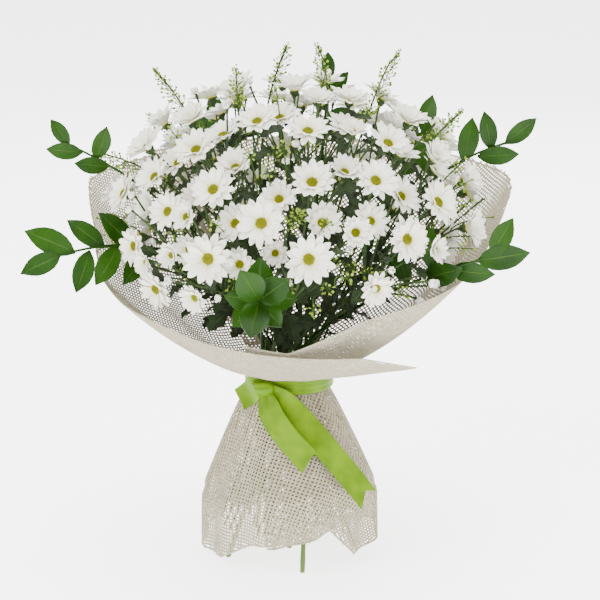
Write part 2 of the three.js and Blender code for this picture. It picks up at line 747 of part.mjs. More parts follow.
// Where a small bloom is tested: round its edge, half-way out, in its middle and along its stalk.
function bloomProbes(spray, bloom) {
  const { at, normal, radius, cup } = bloom;
  const axes = axesAlong(normal, bloom.spin);
  const points = [at.clone(), at.clone().addScaledVector(normal, -0.3 * radius)];
  for (let k = 0; k < 12; k++) {
    const turn = rad(30 * k);
    for (const share of [0.5, 1]) {
      const out = new THREE.Vector3(Math.cos(turn), Math.sin(turn), Math.tan(rad(cup))).applyMatrix4(axes);
      points.push(at.clone().addScaledVector(out, share * radius * Math.cos(rad(cup))));
    }
  }
  const stalk = stalkCurve(spray.end, bloom);
  for (let k = 3; k < 12; k++) points.push(stalk.getPoint(k / 12));
  return points;
}

// Adds the small blooms wherever they clear all that is there.
function fillGaps(hubs) {
  let seed = 200;
  for (const lift of FILL.lifts) {
    for (let k = 0; k < FILL.places; k++) {
      seed += 1;
      const s = 1 - ((k + 0.5) / FILL.places) * (1 - FILL.lowest);
      const at = domePoint({ azimuth: k * GOLDEN_ANGLE, s, lift });
      const radius = THREE.MathUtils.lerp(FILL.least, FILL.most, chance(seed + 0.6));
      const bloom = { at, radius, cup: 24 + 26 * chance(seed + 0.9), petals: FILL.petals, layer: 2 };
      dress(bloom, seed);
      const spray = sprayOf(bloom, hubs);
      if (clearance(bloomProbes(spray, bloom), spray) < FILL.room) continue;
      spray.blooms.push(bloom);
      noteBloom(spray, bloom);
    }
  }
}

// The stem stops short of the hub from which the stalks spread.
function stopShort(spray) {
  const whole = new SpiralStem(spray.ring, spray.end, spray.keep);
  const end = spray.end.clone().addScaledVector(whole.getTangent(1), -(HUB_RADIUS + GAP + 0.6));
  return new SpiralStem(spray.ring, end, spray.keep);
}

// Leaves that point from the stem into the widest gaps between what is there.
function sprayLeaves(spray) {
  const leaves = [];
  for (const distance of spray.outer ? [12, 34, 58] : [12, 36]) {
    const { point: root, along } = before(spray.stem, distance);
    const axes = axesAlong(along);
    const options = [];
    for (let k = 0; k < 16; k++) {
      const turn = (2 * Math.PI * k) / 16;
      for (const lean of [0.45, 0.75, 1.05]) {
        const direction = new THREE.Vector3(
          Math.sin(lean) * Math.cos(turn),
          Math.sin(lean) * Math.sin(turn),
          Math.cos(lean),
        ).applyMatrix4(axes);
        const face = along.clone().cross(direction).cross(direction).negate();
        const leaf = { root, direction, face, ...SPRAY_LEAF };
        options.push({ leaf, room: clearance(bladeProbes(leaf), spray.stem) });
      }
    }
    const best = options.reduce((one, two) => (two.room > one.room ? two : one));
    if (best.room < 0) continue;
    leaves.push(best.leaf);
    noteBlade(best.leaf);
  }
  return leaves;
}

// ---- ruscus and pennycress ----

// Leaves that stand out in turn from both sides of a branch, with one at its end.
function ruscusLeaves(branch) {
  const { stem } = branch;
  const leaves = [];
  const last = branch.leaves - 1;
  for (let k = 0; k <= last; k++) {
    const spacing = branch.whorl ? RUSCUS_LEAF.whorlSpacing : RUSCUS_LEAF.spacing;
    const { point: root, along } = before(stem, 2 + spacing * (last - k));
    const level = along.clone().cross(UP).normalize();
    const ahead = along.clone().applyAxisAngle(level, rad(branch.up));
    const across = level.clone().applyAxisAngle(ahead, rad(branch.roll));
    const over = across.clone().cross(ahead);
    let lean = k === last ? 0.1 : 0.6 + 0.5 * chance(k + branch.leaf);
    let turn = (k % 2 ? 0 : Math.PI) + 1.2 * (chance(3 * k + branch.leaf) - 0.5);
    if (branch.whorl) {
      lean = 1.25 - 0.06 * k;
      turn = rad(GOLDEN_ANGLE * k + 40);
    }
    const direction = ahead.clone().multiplyScalar(Math.cos(lean))
      .addScaledVector(across, Math.sin(lean) * Math.cos(turn))
      .addScaledVector(over, Math.sin(lean) * Math.sin(turn));
    const length = branch.leaf * (0.84 + 0.24 * chance(k + branch.leaves));
    const width = (branch.whorl ? 0.6 : 0.46) * length;
    const leaf = { root, direction, face: branch.whorl ? ahead : over, length, width, ...RUSCUS_LEAF };
    if (clearance(bladeProbes(leaf), stem) > 0) leaves.push(leaf);
  }
  for (const leaf of leaves) noteBlade(leaf, stem);
  return leaves;
}

// A pod is a flat club of three sides that stands out from its raceme.
function podSolid({ root, direction, length, radius }) {
  const axes = axesAlong(direction, length);
  const points = [[0, 0, -1], [radius, 0, 0.72 * length], [-0.5 * radius, 0.9 * radius, 0.72 * length],
    [-0.5 * radius, -0.9 * radius, 0.72 * length], [0, 0, length]]
    .map(([x, y, z]) => new THREE.Vector3(x, y, z).applyMatrix4(axes).add(root));
  return fromFaces(points, [[0, 2, 1], [0, 3, 2], [0, 1, 3], [4, 1, 2], [4, 2, 3], [4, 3, 1]]);
}

// Pods all round the upper part of a raceme, shorter towards its tip.
function pennycressPods(raceme) {
  const { stem } = raceme;
  const pods = [];
  const count = Math.round(raceme.pods / POD.spacing);
  for (let k = 0; k < count; k++) {
    const { point: root, along } = before(stem, 1.5 + POD.spacing * k);
    const turn = rad(GOLDEN_ANGLE * k);
    const lean = k === 0 ? 0.1 : 0.9;
    const direction = new THREE.Vector3(
      Math.sin(lean) * Math.cos(turn),
      Math.sin(lean) * Math.sin(turn),
      Math.cos(lean),
    ).applyMatrix4(axesAlong(along));
    const length = POD.length * (0.6 + 0.4 * Math.min(1, (3 * k) / count));
    const pod = { root, direction, length, radius: POD.radius };
    const tip = root.clone().addScaledVector(direction, pod.length);
    const middle = root.clone().addScaledVector(direction, 0.7 * pod.length);
    if (clearance([tip, middle], stem) < 2.6) continue;
    pods.push(pod);
    addBall(middle, 5, stem);
  }
  return pods;
}

// ---- the group ----

const MATERIALS = {
  petal: new THREE.MeshStandardMaterial({ color: 0xf4f2ea, roughness: 0.6, metalness: 0 }),
  leaf: new THREE.MeshStandardMaterial({ color: 0x46603a, roughness: 0.55, metalness: 0 }),
  ruscus: new THREE.MeshStandardMaterial({ color: 0x2f7a1e, roughness: 0.35, metalness: 0 }),
  pod: new THREE.MeshStandardMaterial({ color: 0xa9c983, roughness: 0.55, metalness: 0 }),
  net: new THREE.MeshStandardMaterial({ color: 0xe8e2d4, roughness: 0.9, metalness: 0 }),
  ribbon: new THREE.MeshStandardMaterial({ color: 0x8fc31f, roughness: 0.35, metalness: 0 }),
  twine: new THREE.MeshStandardMaterial({ color: 0x8a7a55, roughness: 0.9, metalness: 0 }),
};

const bunch = new THREE.Group();
bunch.name = "chrysanthemum_bunch";

function add(name, solid, material) {
  const mesh = new THREE.Mesh(toGeometry(solid.translate(AXIS)), MATERIALS[material].clone());
  mesh.name = name;
  bunch.add(mesh);
}

const twoDigits = (n) => String(n).padStart(2, "0");

const stemOf = ({ x, y, z, keep, inner }) =>
  new SpiralStem(inner ? RINGS.middle : RINGS.rim, new THREE.Vector3(x, y, z), keep);

const sprays = makeSprays();
for (const spray of sprays) {
  spray.stem = stopShort(spray);
  noteCluster(spray);
  noteStem(spray.stem, spray.ring.radius);
}
const branches = RUSCUS.map((branch) => ({ ...branch, stem: stemOf(branch) }));
const racemes = PENNYCRESS.map((raceme) => ({ ...raceme, stem: stemOf(raceme) }));
for (const { stem } of [...branches, ...racemes]) noteStem(stem, RINGS.middle.radius);
for (const branch of branches) branch.blades = ruscusLeaves(branch);
for (const raceme of racemes) raceme.clubs = pennycressPods(raceme);
fillGaps(sprays);

sprays.forEach((spray, i) => {
  const name = `spray_${twoDigits(i + 1)}`;
  const cut = spray.outer && i % 2 === 0 ? 0 : SHORT_CUT;
  const stem = stemSolid(spray.stem, spray.ring.radius, 4, i === 0 ? 0 : cut);
  add(`${name}_blooms`, clusterSolid(spray), "petal");
  add(`${name}_leafy_stem`, fuse([stem, ...sprayLeaves(spray).map(bladeSolid)]), "leaf");
});
for (const branch of branches) {
  const stem = stemSolid(branch.stem, RINGS.rim.radius, 3, SHORT_CUT);
  add(`ruscus_${branch.name}`, fuse([stem, ...branch.blades.map(bladeSolid)]), "ruscus");
}
racemes.forEach((raceme, i) => {
  const stem = stemSolid(raceme.stem, RINGS.middle.radius, 3, SHORT_CUT);
  add(`pennycress_${twoDigits(i + 1)}`, fuse([stem, ...raceme.clubs.map(podSolid)]), "pod");
});
for (const sheet of SHEETS) add(sheet.name, wrapSolid(sheet), "net");
add("ribbon", ribbonSolid(), "ribbon");
add("binding_twine", twineSolid(), "twine");

export default bunch;
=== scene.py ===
# A hand-tied bunch of white spray chrysanthemums with ruscus and pennycress, in a net wrap with a
# ribbon. The layout is in millimetres with z up from the ground and the axis through the tie, where
# the stems cross, and each piece is moved into the frame when it is finished. Azimuths are degrees
# from the front, positive to the right.
import math
from types import SimpleNamespace

import bmesh
import bpy
import numpy as np
from mathutils import Matrix, Vector


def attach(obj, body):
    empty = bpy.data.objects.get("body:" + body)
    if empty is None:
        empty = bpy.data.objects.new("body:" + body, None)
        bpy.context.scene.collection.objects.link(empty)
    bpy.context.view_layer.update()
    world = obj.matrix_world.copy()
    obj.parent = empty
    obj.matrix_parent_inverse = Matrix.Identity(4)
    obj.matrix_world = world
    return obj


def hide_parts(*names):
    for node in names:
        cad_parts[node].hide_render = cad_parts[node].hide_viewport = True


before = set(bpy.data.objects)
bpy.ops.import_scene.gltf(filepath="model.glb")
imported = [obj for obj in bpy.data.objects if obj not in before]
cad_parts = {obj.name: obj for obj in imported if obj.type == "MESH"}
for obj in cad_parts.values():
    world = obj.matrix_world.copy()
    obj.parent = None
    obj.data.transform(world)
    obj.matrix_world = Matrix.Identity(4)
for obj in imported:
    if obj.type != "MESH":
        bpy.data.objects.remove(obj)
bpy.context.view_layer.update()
print("frame loaded:", len(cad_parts), "nodes")

tieHeight = 188
toFrame = Matrix.Scale(0.001, 4) @ Matrix.Translation((4, 8, 0))
goldenAngle = 180 * (3 - math.sqrt(5))


# ---- small tools ----

# a number from 0 to 1 that depends only on its seed
def chance(seed):
    value = math.sin(seed * 12.9898 + 4.1414) * 43758.5453
    return value - math.floor(value)


def spread(seed, amount):
    return amount * (2 * chance(seed) - 1)


def lerp(start, end, share):
    return start + (end - start) * share


def clamp(value, least=0, most=1):
    return max(least, min(most, value))


def around(azimuth, reach, z):
    turn = math.radians(azimuth)
    return Vector((reach * math.sin(turn), -reach * math.cos(turn), z))


def azimuthOf(point):
    return math.degrees(math.atan2(point[0], -point[1]))


# right-handed axes with z along a direction, turned about it by spin
def axesAlong(direction, spin=0):
    z = Vector(direction).normalized()
    side = Vector((1, 0, 0)) if abs(z.z) > 0.95 else Vector((0, 0, 1)).cross(z).normalized()
    x = Matrix.Rotation(spin, 3, z) @ side
    return Matrix((x, z.cross(x), z)).transposed()


# a value between rows that start with their place, such as an azimuth, and the last beyond the ends
def fromRows(rows, place, column):
    return np.interp(place, [row[0] for row in rows], [row[column] for row in rows])


# ---- the wrap's two sheets ----

wrap = {
    "neck": 36,  # from the axis at the tie
    "band": 10,  # half the height of the straight part
    "pleat": 1.7,
    "step": 15,  # degrees from a pleat to the next
    "bow": 1.5,
    "lap": 3.4,  # the outer sheet lies this far outside the inner one
    "drop": 2.6,  # and this far below it above the tie
}
innerSheet = {
    "name": "wrap_sheet_inner", "lap": 0, "from": -15, "to": 225,
    "rim": [(-15, 159, 263), (0, 155, 256), (25, 168, 285), (42, 183, 299), (60, 189, 311), (90, 219, 366),
            (110, 236, 379), (140, 224, 390), (180, 211, 394), (220, 212, 390)],
    "hem": [(-10, 82, 30), (30, 84, 46), (50, 85, 14), (90, 88, 22), (180, 86, 18), (220, 84, 18)],
}
outerSheet = {
    "name": "wrap_sheet_outer", "lap": 1, "from": -150, "to": 60,
    "rim": [(-150, 212, 390), (-110, 214, 378), (-90, 192, 342), (-75, 185, 308), (-60, 176, 288),
            (-45, 167, 276), (-30, 162, 265), (0, 155, 256), (25, 162, 251), (60, 138, 219)],
    "hem": [(-150, 90, 18), (-90, 84, 14), (-50, 84, 12), (-25, 88, 34), (0, 89, 40), (20, 91, 50),
            (60, 95, 58)],
}


# Points of a sheet as rows of x, y and z: level is -2 at the hem, -1 to 1 at the tie and 2 at the rim.
def netPoints(sheet, azimuth, level):
    azimuth, level = np.broadcast_arrays(np.asarray(azimuth, float), np.asarray(level, float))
    turn = np.radians(azimuth)
    fold = -np.cos(math.pi * azimuth / wrap["step"])
    share = np.clip(np.abs(level) - 1, 0, 1)
    base = wrap["neck"] + wrap["lap"] * sheet["lap"]
    hemReach = fromRows(sheet["hem"], azimuth, 1) + wrap["lap"] * sheet["lap"]
    rimReach = fromRows(sheet["rim"], azimuth, 1) + wrap["lap"] * sheet["lap"]
    low, high = tieHeight - wrap["band"], tieHeight + wrap["band"]
    below = lerp(base, hemReach, np.minimum(1, share / 0.68) ** 0.9)
    below = below + 2.5 * np.sin(5 * turn + 1) * share + wrap["pleat"] * fold * (1 + 0.6 * share)
    above = lerp(base, rimReach, share)
    above = above + 3 * np.sin(6 * turn + 2) * share + wrap["pleat"] * fold * (1 - share) ** 2
    lowZ = lerp(low, fromRows(sheet["hem"], azimuth, 2), share)
    highZ = lerp(high, fromRows(sheet["rim"], azimuth, 2), share ** wrap["bow"])
    lowZ = np.where(level > -1, tieHeight + level * wrap["band"], lowZ)
    highZ = np.where(level < 1, tieHeight + level * wrap["band"], highZ) - wrap["drop"] * sheet["lap"]
    reach = np.where(level < 0, below, above)
    z = np.where(level < 0, lowZ, highZ)
    return np.stack([reach * np.sin(turn), -reach * np.cos(turn), z], axis=-1)


# distance of the net from the axis at a height, or endless above the rim
def netReach(azimuth, z):
    azimuth = np.asarray(azimuth, float)
    turn = np.where(azimuth < -135, azimuth + 360, azimuth)
    outside = turn < -15
    rimReach = np.where(outside, fromRows(outerSheet["rim"], turn, 1), fromRows(innerSheet["rim"], turn, 1))
    rimZ = np.where(outside, fromRows(outerSheet["rim"], turn, 2), fromRows(innerSheet["rim"], turn, 2))
    low = tieHeight + wrap["band"]
    share = np.maximum(0, (np.asarray(z, float) - low) / (rimZ - low))
    return np.where(share > 1, np.inf, lerp(wrap["neck"], rimReach, share ** (1 / wrap["bow"])))


# ---- the spiral of stems ----

# How many stems a ring has, how far they pass from the axis at the tie, how they splay and how thick
# they are.
rings = {
    "core": {"count": 1, "offset": 0, "slope": 0, "radius": 2.4},
    "inner": {"count": 5, "offset": 8.6, "slope": 0.18, "radius": 2.3},
    "middle": {"count": 5, "offset": 14.4, "slope": 0.26, "radius": 1.2},
    "outer": {"count": 9, "offset": 20.2, "slope": 0.34, "radius": 2.3},
    "rim": {"count": 13, "offset": 27, "slope": 0.42, "radius": 1.5},
}
hubPlaces = {
    "core": {"reach": 0, "z": 392, "keep": 120, "turn": 0},
    "inner": {"reach": 74, "z": 362, "keep": 90, "turn": 20},
    "outer": {"reach": 106, "z": 296, "keep": 52, "turn": 3},
}
belowTie = 0.4
hubRadius = 3.2
gap = 0.3
shortCut = 34  # height of the stems that end inside the wrap


# A stem goes straight through the tie, past the axis at its ring's offset, and bends out to its end.
class SpiralStem:
    def __init__(self, ring, end, keep):
        self.ring, self.end, self.keep = ring, Vector(end), keep
        self.rise = end[2] - tieHeight
        self.across = math.sqrt(max(0, end[0] ** 2 + end[1] ** 2 - ring["offset"] ** 2))
        slot = azimuthOf(end) - math.degrees(math.atan2(self.across, ring["offset"]))
        self.near = np.array(around(slot, ring["offset"], tieHeight))
        self.away = np.array(around(slot + 90, 1, 0))

    def pointsAt(self, t):
        t = np.asarray(t, float)
        slope = self.ring["slope"]
        low = (t / belowTie - 1) * (tieHeight + 8)
        s = np.clip((t - belowTie) / (1 - belowTie), 0, 1)
        middle = 2 * s * (1 - s)
        h = np.where(t < belowTie, low, middle * self.keep + s * s * self.rise)
        g = np.where(t < belowTie, slope * low, middle * slope * self.keep + s * s * self.across)
        return self.near + g[..., None] * self.away + h[..., None] * np.array((0, 0, 1))

    def spacedPoints(self, steps):
        t = np.linspace(0, 1, 201)
        points = self.pointsAt(t)
        lengths = np.concatenate([[0], np.cumsum(np.linalg.norm(np.diff(points, axis=0), axis=1))])
        return self.pointsAt(np.interp(np.linspace(0, 1, steps + 1) * lengths[-1], lengths, t))

    # the point and the direction at a distance before the end
    def before(self, distance):
        points = self.spacedPoints(8)
        for i in range(8, 0, -1):
            along = points[i] - points[i - 1]
            length = np.linalg.norm(along)
            if distance <= length:
                return Vector(points[i] - along * distance / length), Vector(along / length)
            distance -= length
        return Vector(points[0]), Vector(points[1] - points[0]).normalized()


# ---- the blooms ----

dome = {"x": 6, "z": 351, "radius": 172, "height": 128}
bloomLayers = [
    {"places": 56, "lift": 1.02, "lowest": -0.16, "least": 22, "most": 26},
    {"places": 40, "lift": 0.89, "lowest": -0.06, "least": 19.5, "most": 23},
]
# the small blooms that fill the gaps
fill = {"places": 160, "lifts": (1.04, 0.97, 0.9), "lowest": -0.3, "least": 15.5, "most": 19.5, "room": 0.6}
# across, height, radius and how far the petals stand up, in degrees
frontBlooms = [
    (-70, 346, 27, 12), (-124, 303, 23, 12), (-142, 338, 21, 18), (-84, 305, 18, 30), (-24, 380, 26, 14),
    (19, 350, 26, 12), (62, 368, 21, 42), (100, 356, 25, 12), (82, 318, 19, 20), (78, 412, 25, 20),
    (136, 386, 25, 16), (24, 410, 25, 34), (-66, 402, 24, 14), (-108, 382, 21, 16), (-154, 380, 23, 16),
    (18, 452, 24, 16), (-28, 458, 23, 20),
]


def domePoint(azimuth, s, lift):
    place = around(azimuth, dome["radius"] * math.sqrt(max(0, 1 - s * s)), dome["height"] * s)
    return [place[0] * lift + dome["x"], place[1] * lift, place[2] * lift + dome["z"]]


# the place on the dome in the direction of a point, no lower than its lowest row
def onDome(point, lift, lowest):
    x, y = (point[0] - dome["x"]) / dome["radius"], point[1] / dome["radius"]
    z = (point[2] - dome["z"]) / dome["height"]
    s = max(z / math.sqrt(x * x + y * y + z * z), lowest)
    turn, level = math.atan2(x, -y), dome["radius"] * math.sqrt(max(0, 1 - s * s)) * lift
    height = dome["height"] * s * lift + dome["z"]
    return [level * math.sin(turn) + dome["x"], -level * math.cos(turn), height]


def facing(point, seed):
    x, y = (point[0] - dome["x"]) / dome["radius"] ** 2, point[1] / dome["radius"] ** 2
    z = (point[2] - dome["z"]) / dome["height"] ** 2
    size = math.sqrt(x * x + y * y + z * z)
    x = x / size + 0.24 * (chance(seed + 0.1) - 0.5)
    y = y / size + 0.24 * (chance(seed + 0.2) - 0.5) - 0.12
    z = z / size + 0.2
    size = math.sqrt(x * x + y * y + z * z)
    return [x / size, y / size, z / size]


def keepInWrap(at, radius):
    room = float(netReach(azimuthOf(at), at[2] - 0.8 * radius)) - 0.6 * radius - 7
    reach = math.hypot(at[0], at[1])
    return at if reach <= room else [at[0] * room / reach, at[1] * room / reach, at[2]]


def leastApart(one, two):
    if one.layer == two.layer:
        return one.radius + two.radius + 1.4
    return min(one.radius, two.radius) + 6


# One round that pushes blooms apart where they are too close. Between the layers only the distance
# across the dome counts.
def pushApart(blooms):
    for i, one in enumerate(blooms):
        for two in blooms[i + 1:]:
            x, y, z = (two.at[k] - one.at[k] for k in range(3))
            if one.layer != two.layer:
                normal = facing(one.at, 0)
                deep = x * normal[0] + y * normal[1] + z * normal[2]
                x, y, z = x - deep * normal[0], y - deep * normal[1], z - deep * normal[2]
            size = math.sqrt(x * x + y * y + z * z)
            missing = leastApart(one, two) - size
            if missing <= 0:
                continue
            share = 0.5 * missing / size
            for k, way in enumerate((x, y, z)):
                one.at[k] -= way * share * one.yields
                two.at[k] += way * share * two.yields


def layBlooms():
    blooms = []
    for x, z, radius, cup in frontBlooms:
        s = (z - dome["z"]) / dome["height"]
        level = dome["radius"] * math.sqrt(1 - s * s)
        at = domePoint(math.degrees(math.asin((x - dome["x"]) / level)), s, bloomLayers[0]["lift"])
        blooms.append(SimpleNamespace(radius=radius, cup=cup, layer=0, yields=0.1, lowest=s, at=at))
    held = list(blooms)
    for layer, rows in enumerate(bloomLayers):
        for k in range(rows["places"]):
            seed = k + 100 * layer
            s = 1 - ((k + 0.5) / rows["places"]) * (1 - rows["lowest"])
            at = domePoint(k * goldenAngle + 70 * layer, s, rows["lift"])
            radius = lerp(rows["least"], rows["most"], chance(seed + 0.6))
            cup = 20 + 30 * chance(seed + 0.9) ** 2
            bloom = SimpleNamespace(radius=radius, cup=cup, layer=layer, yields=1, lowest=rows["lowest"],
                                    at=at)
            if all(math.dist(other.at, at) > 0.8 * leastApart(bloom, other) for other in held):
                blooms.append(bloom)
    for _ in range(200):
        pushApart(blooms)
        for bloom in blooms:
            bloom.at = onDome(bloom.at, bloomLayers[bloom.layer]["lift"], bloom.lowest)
            bloom.at = keepInWrap(bloom.at, bloom.radius)
    for i, bloom in enumerate(blooms):
        dress(bloom, i)
    return blooms


def dress(bloom, seed):
    bloom.normal = Vector(facing(bloom.at, seed))
    bloom.at = Vector(bloom.at)
    bloom.seed = seed
    bloom.axes = axesAlong(bloom.normal, 2 * math.pi * chance(seed + 0.7))


# the spray whose hub lies nearest to the way from the tie to a place
def sprayOf(place, sprays):
    tie = Vector((0, 0, tieHeight))
    towards = (Vector(place) - tie).normalized()
    return max(sprays, key=lambda spray: (spray.hub - tie).normalized().dot(towards))


def makeSprays():
    sprays = []
    for name, hub in hubPlaces.items():
        ring = rings[name]
        for i in range(ring["count"]):
            end = around(hub["turn"] + 360 / ring["count"] * i, hub["reach"], hub["z"])
            whole = SpiralStem(ring, end, hub["keep"])
            last = whole.pointsAt([1 - 1e-4, 1])
            tangent = Vector(last[1] - last[0]).normalized()
            stem = SpiralStem(ring, end - tangent * (hubRadius + gap + 0.6), hub["keep"])
            number = len(sprays) + 1
            isLong = number == 1 or (name == "outer" and number % 2 == 1)
            sprays.append(SimpleNamespace(
                name=f"spray_{number:02d}", hub=end, stem=stem, blooms=[], isOuter=name == "outer",
                cut=0 if isLong else shortCut, leaves=[], buds=[]))
    for bloom in layBlooms():
        sprayOf(bloom.at, sprays).blooms.append(bloom)
    return sprays


def bezier(start, bend, end, steps):
    return [start * (1 - t) ** 2 + bend * 2 * t * (1 - t) + end * t * t
            for t in (k / steps for k in range(steps + 1))]


def stalkPath(hub, bloom, steps):
    foot = bloom.at - bloom.normal * 0.3 * bloom.radius
    bend = bloom.at - bloom.normal * 0.9 * bloom.radius
    return bezier(hub, bend, foot, steps)


sprays = makeSprays()
blooms = [bloom for spray in sprays for bloom in spray.blooms]
print("blooms laid:", len(blooms))


# ---- keeping leaves, pods and buds clear of each other ----

# what is already in the bunch, as balls with their owner
taken = {"centres": [], "radii": [], "owners": []}


def addBall(centre, radius, owner=None):
    taken["centres"].append(tuple(centre))
    taken["radii"].append(radius)
    taken["owners"].append(id(owner) if owner is not None else 0)


def noteStem(stem, radius):
    for point in stem.spacedPoints(60)[24:]:
        addBall(point, radius + 1.5, stem)


# How far the points of each option stay clear of the bunch and inside the wrap, or all outside it.
def clearances(options, owner):
    points = np.array([[tuple(point) for point in option] for option in options])
    count, each = points.shape[:2]
    flat = points.reshape(-1, 3)
    centres, radii = np.array(taken["centres"]), np.array(taken["radii"])
    others = np.array(taken["owners"]) != id(owner)
    centres, radii = centres[others], radii[others]
    squared = (flat ** 2).sum(1)[:, None] + (centres ** 2).sum(1) - 2 * flat @ centres.T
    least = (np.sqrt(np.maximum(0, squared)) - radii).min(1)
    for bloom in blooms:
        lift = 0.7 * bloom.radius * math.sin(math.radians(bloom.cup))
        offset = flat - np.array(bloom.at)
        height = offset @ np.array(bloom.normal)
        out = np.sqrt(np.maximum(0, (offset ** 2).sum(1) - height ** 2))
        above = np.abs(height - lift / 2 + 3) - lift / 2 - 7
        least = np.minimum(least, np.maximum(out - bloom.radius, above))
    azimuths = np.degrees(np.arctan2(flat[:, 0], -flat[:, 1]))
    room = netReach(azimuths, flat[:, 2]) - np.hypot(flat[:, 0], flat[:, 1])
    least = np.where(np.isinf(room), least, np.minimum(least, np.abs(room) - 3))
    least = least.reshape(count, each).min(1)
    room = np.where(np.isinf(room), 0, room).reshape(count, each)
    crosses = (room > 0).any(1) & (room < 0).any(1)
    return np.where(crosses, -1, least)


# ---- leaves as laid ----

# Rows along a leaf: share of its length, half width as a share of its width, forward shift of the edge.
lobedRows = [(0, 0, 0), (0.3, 0.42, 0.06), (0.45, 0.2, 0), (0.66, 0.5, 0.08), (1, 0, 0)]
ovalRows = [(0, 0, 0), (0.26, 0.42, 0), (0.55, 0.5, 0), (0.82, 0.28, 0), (1, 0, 0)]
sprayLeaf = {"length": 40, "width": 22, "fold": 0.2, "arch": 0.1, "thickness": 1.2, "rows": lobedRows}
smallLeaf = {"length": 27, "width": 16, "fold": 0.25, "arch": 0.14, "thickness": 1, "rows": lobedRows}
ruscusLeaf = {"fold": 0.16, "arch": 0.12, "thickness": 1.1, "rows": ovalRows}


def leafAt(leaf, along, side, raised):
    return (leaf.root + leaf.z * along * leaf.length + leaf.x * side * leaf.width
            + leaf.y * (raised + leaf.arch * leaf.length * along * (1 - along)))


def makeLeaf(root, direction, face, **settings):
    z = direction.normalized()
    x = z.cross(face).normalized()
    return SimpleNamespace(root=root, z=z, x=x, y=x.cross(z), **settings)


# where a leaf is tested: its edge and rib, and half-way from its root
def leafProbes(leaf):
    rows = []
    for along, half, shift in leaf.rows[1:-1]:
        raised = leaf.fold * half * leaf.width
        edges = [leafAt(leaf, along + shift, side, raised) for side in (-half, half)]
        ribs = [leafAt(leaf, along, 0, side * leaf.thickness / 2) for side in (-1, 1)]
        rows.append([edges[0], ribs[0], edges[1], ribs[1]])
    halfWay = [point.lerp(leaf.root, 0.5) for point in rows[0]]
    return halfWay + [point for row in rows for point in row] + [leafAt(leaf, 1, 0, 0)]


# Leaves that point into the widest gap, at places that are a point and the way of the stem there.
def growLeaves(owner, places, shape, least, turns=16):
    leaves = []
    for root, along in places:
        axes = axesAlong(along)
        options = []
        for k in range(turns):
            turn = 2 * math.pi * k / turns
            for lean in (0.45, 0.75, 1.05):
                direction = leaning(axes, lean, turn)
                face = -along.cross(direction).cross(direction)
                options.append(makeLeaf(root, direction, face, **shape))
        rooms = clearances([leafProbes(leaf) for leaf in options], owner)
        best = int(np.argmax(rooms))
        if rooms[best] < least:
            continue
        leaves.append(options[best])
        for point in leafProbes(options[best]):
            addBall(point, 3)
    return leaves


# ---- ruscus and pennycress as laid ----

# The branch's end, the height up to which its stem goes straight on, its leaves, their length, how far
# they turn up from the branch and how far the flat of them is rolled about it, in degrees. The front
# branch ends in a whorl.
ruscusBranches = [
    ("left", (-218, -87, 332), 172, 7, 50, -10, -65, "rim"),
    ("left_top", (-213, -32, 429), 170, 4, 36, 20, -90, "rim"),
    ("top", (40, 72, 476), 230, 5, 32, 5, 20, "middle"),
    ("right_top", (214, 3, 424), 206, 6, 44, 20, 90, "rim"),
    ("right", (192, -113, 338), 80, 7, 50, 35, 90, "rim"),
    ("front", (-26, -200, 318), 100, 9, 42, 0, 0, "rim"),
    ("back_right", (143, 183, 402), 60, 6, 48, 35, 20, "rim"),
    ("back_left", (-79, 198, 402), 130, 6, 48, 35, -20, "rim"),
]
# the tip, the length that carries pods, and the height up to which the stem goes straight on
pennycressTips = [
    ((-128, -26, 500), 80, 240, "middle"), ((-198, 57, 404), 66, 205, "rim"),
    ((-50, -32, 502), 44, 220, "middle"), ((-1, 8, 518), 50, 210, "middle"),
    ((107, 6, 512), 74, 320, "middle"), ((166, -36, 462), 52, 200, "rim"),
    ((12, -179, 394), 44, 170, "rim"), ((28, -30, 524), 56, 280, "middle"),
    ((169, 103, 430), 60, 210, "rim"), ((-145, 104, 434), 60, 240, "rim"),
]


# a way that leans from an axis, turned about it
def leaning(axes, lean, turn):
    level = math.sin(lean)
    return axes @ Vector((level * math.cos(turn), level * math.sin(turn), math.cos(lean)))


def layRuscus(branch):
    last = branch.count - 1
    isWhorl = branch.name == "ruscus_front"
    leaves = []
    for k in range(last + 1):
        root, along = branch.stem.before(2 + (5 if isWhorl else 15) * (last - k))
        level = along.cross(Vector((0, 0, 1))).normalized()
        ahead = Matrix.Rotation(math.radians(branch.up), 3, level) @ along
        across = Matrix.Rotation(math.radians(branch.roll), 3, ahead) @ level
        over = across.cross(ahead)
        lean = 0.1 if k == last else 0.6 + 0.5 * chance(k + branch.leaf)
        turn = (0 if k % 2 else math.pi) + 1.2 * (chance(3 * k + branch.leaf) - 0.5)
        if isWhorl:
            lean, turn = 1.25 - 0.06 * k, math.radians(goldenAngle * k + 40)
        direction = (ahead * math.cos(lean) + across * math.sin(lean) * math.cos(turn)
                     + over * math.sin(lean) * math.sin(turn))
        length = branch.leaf * (0.84 + 0.24 * chance(k + branch.count))
        leaf = makeLeaf(root, direction, ahead if isWhorl else over, length=length,
                        width=(0.6 if isWhorl else 0.46) * length, **ruscusLeaf)
        if clearances([leafProbes(leaf)], branch.stem)[0] > 0:
            leaves.append(leaf)
    for leaf in leaves:
        for point in leafProbes(leaf):
            addBall(point, 3, branch.stem)
    return leaves


# where the pods of a raceme lie, as the solids show them
def notePods(raceme):
    count = round(raceme.length / 6.4)
    kept = 0
    for k in range(count):
        root, along = raceme.stem.before(1.5 + 6.4 * k)
        direction = leaning(axesAlong(along), 0.9 if k else 0.1, math.radians(goldenAngle * k))
        length = 14 * (0.6 + 0.4 * min(1, 3 * k / count))
        middle = root + direction * 0.7 * length
        if clearances([[root + direction * length, middle]], raceme.stem)[0] < 2.6:
            continue
        addBall(middle, 5, raceme.stem)
        kept += 1
    return kept


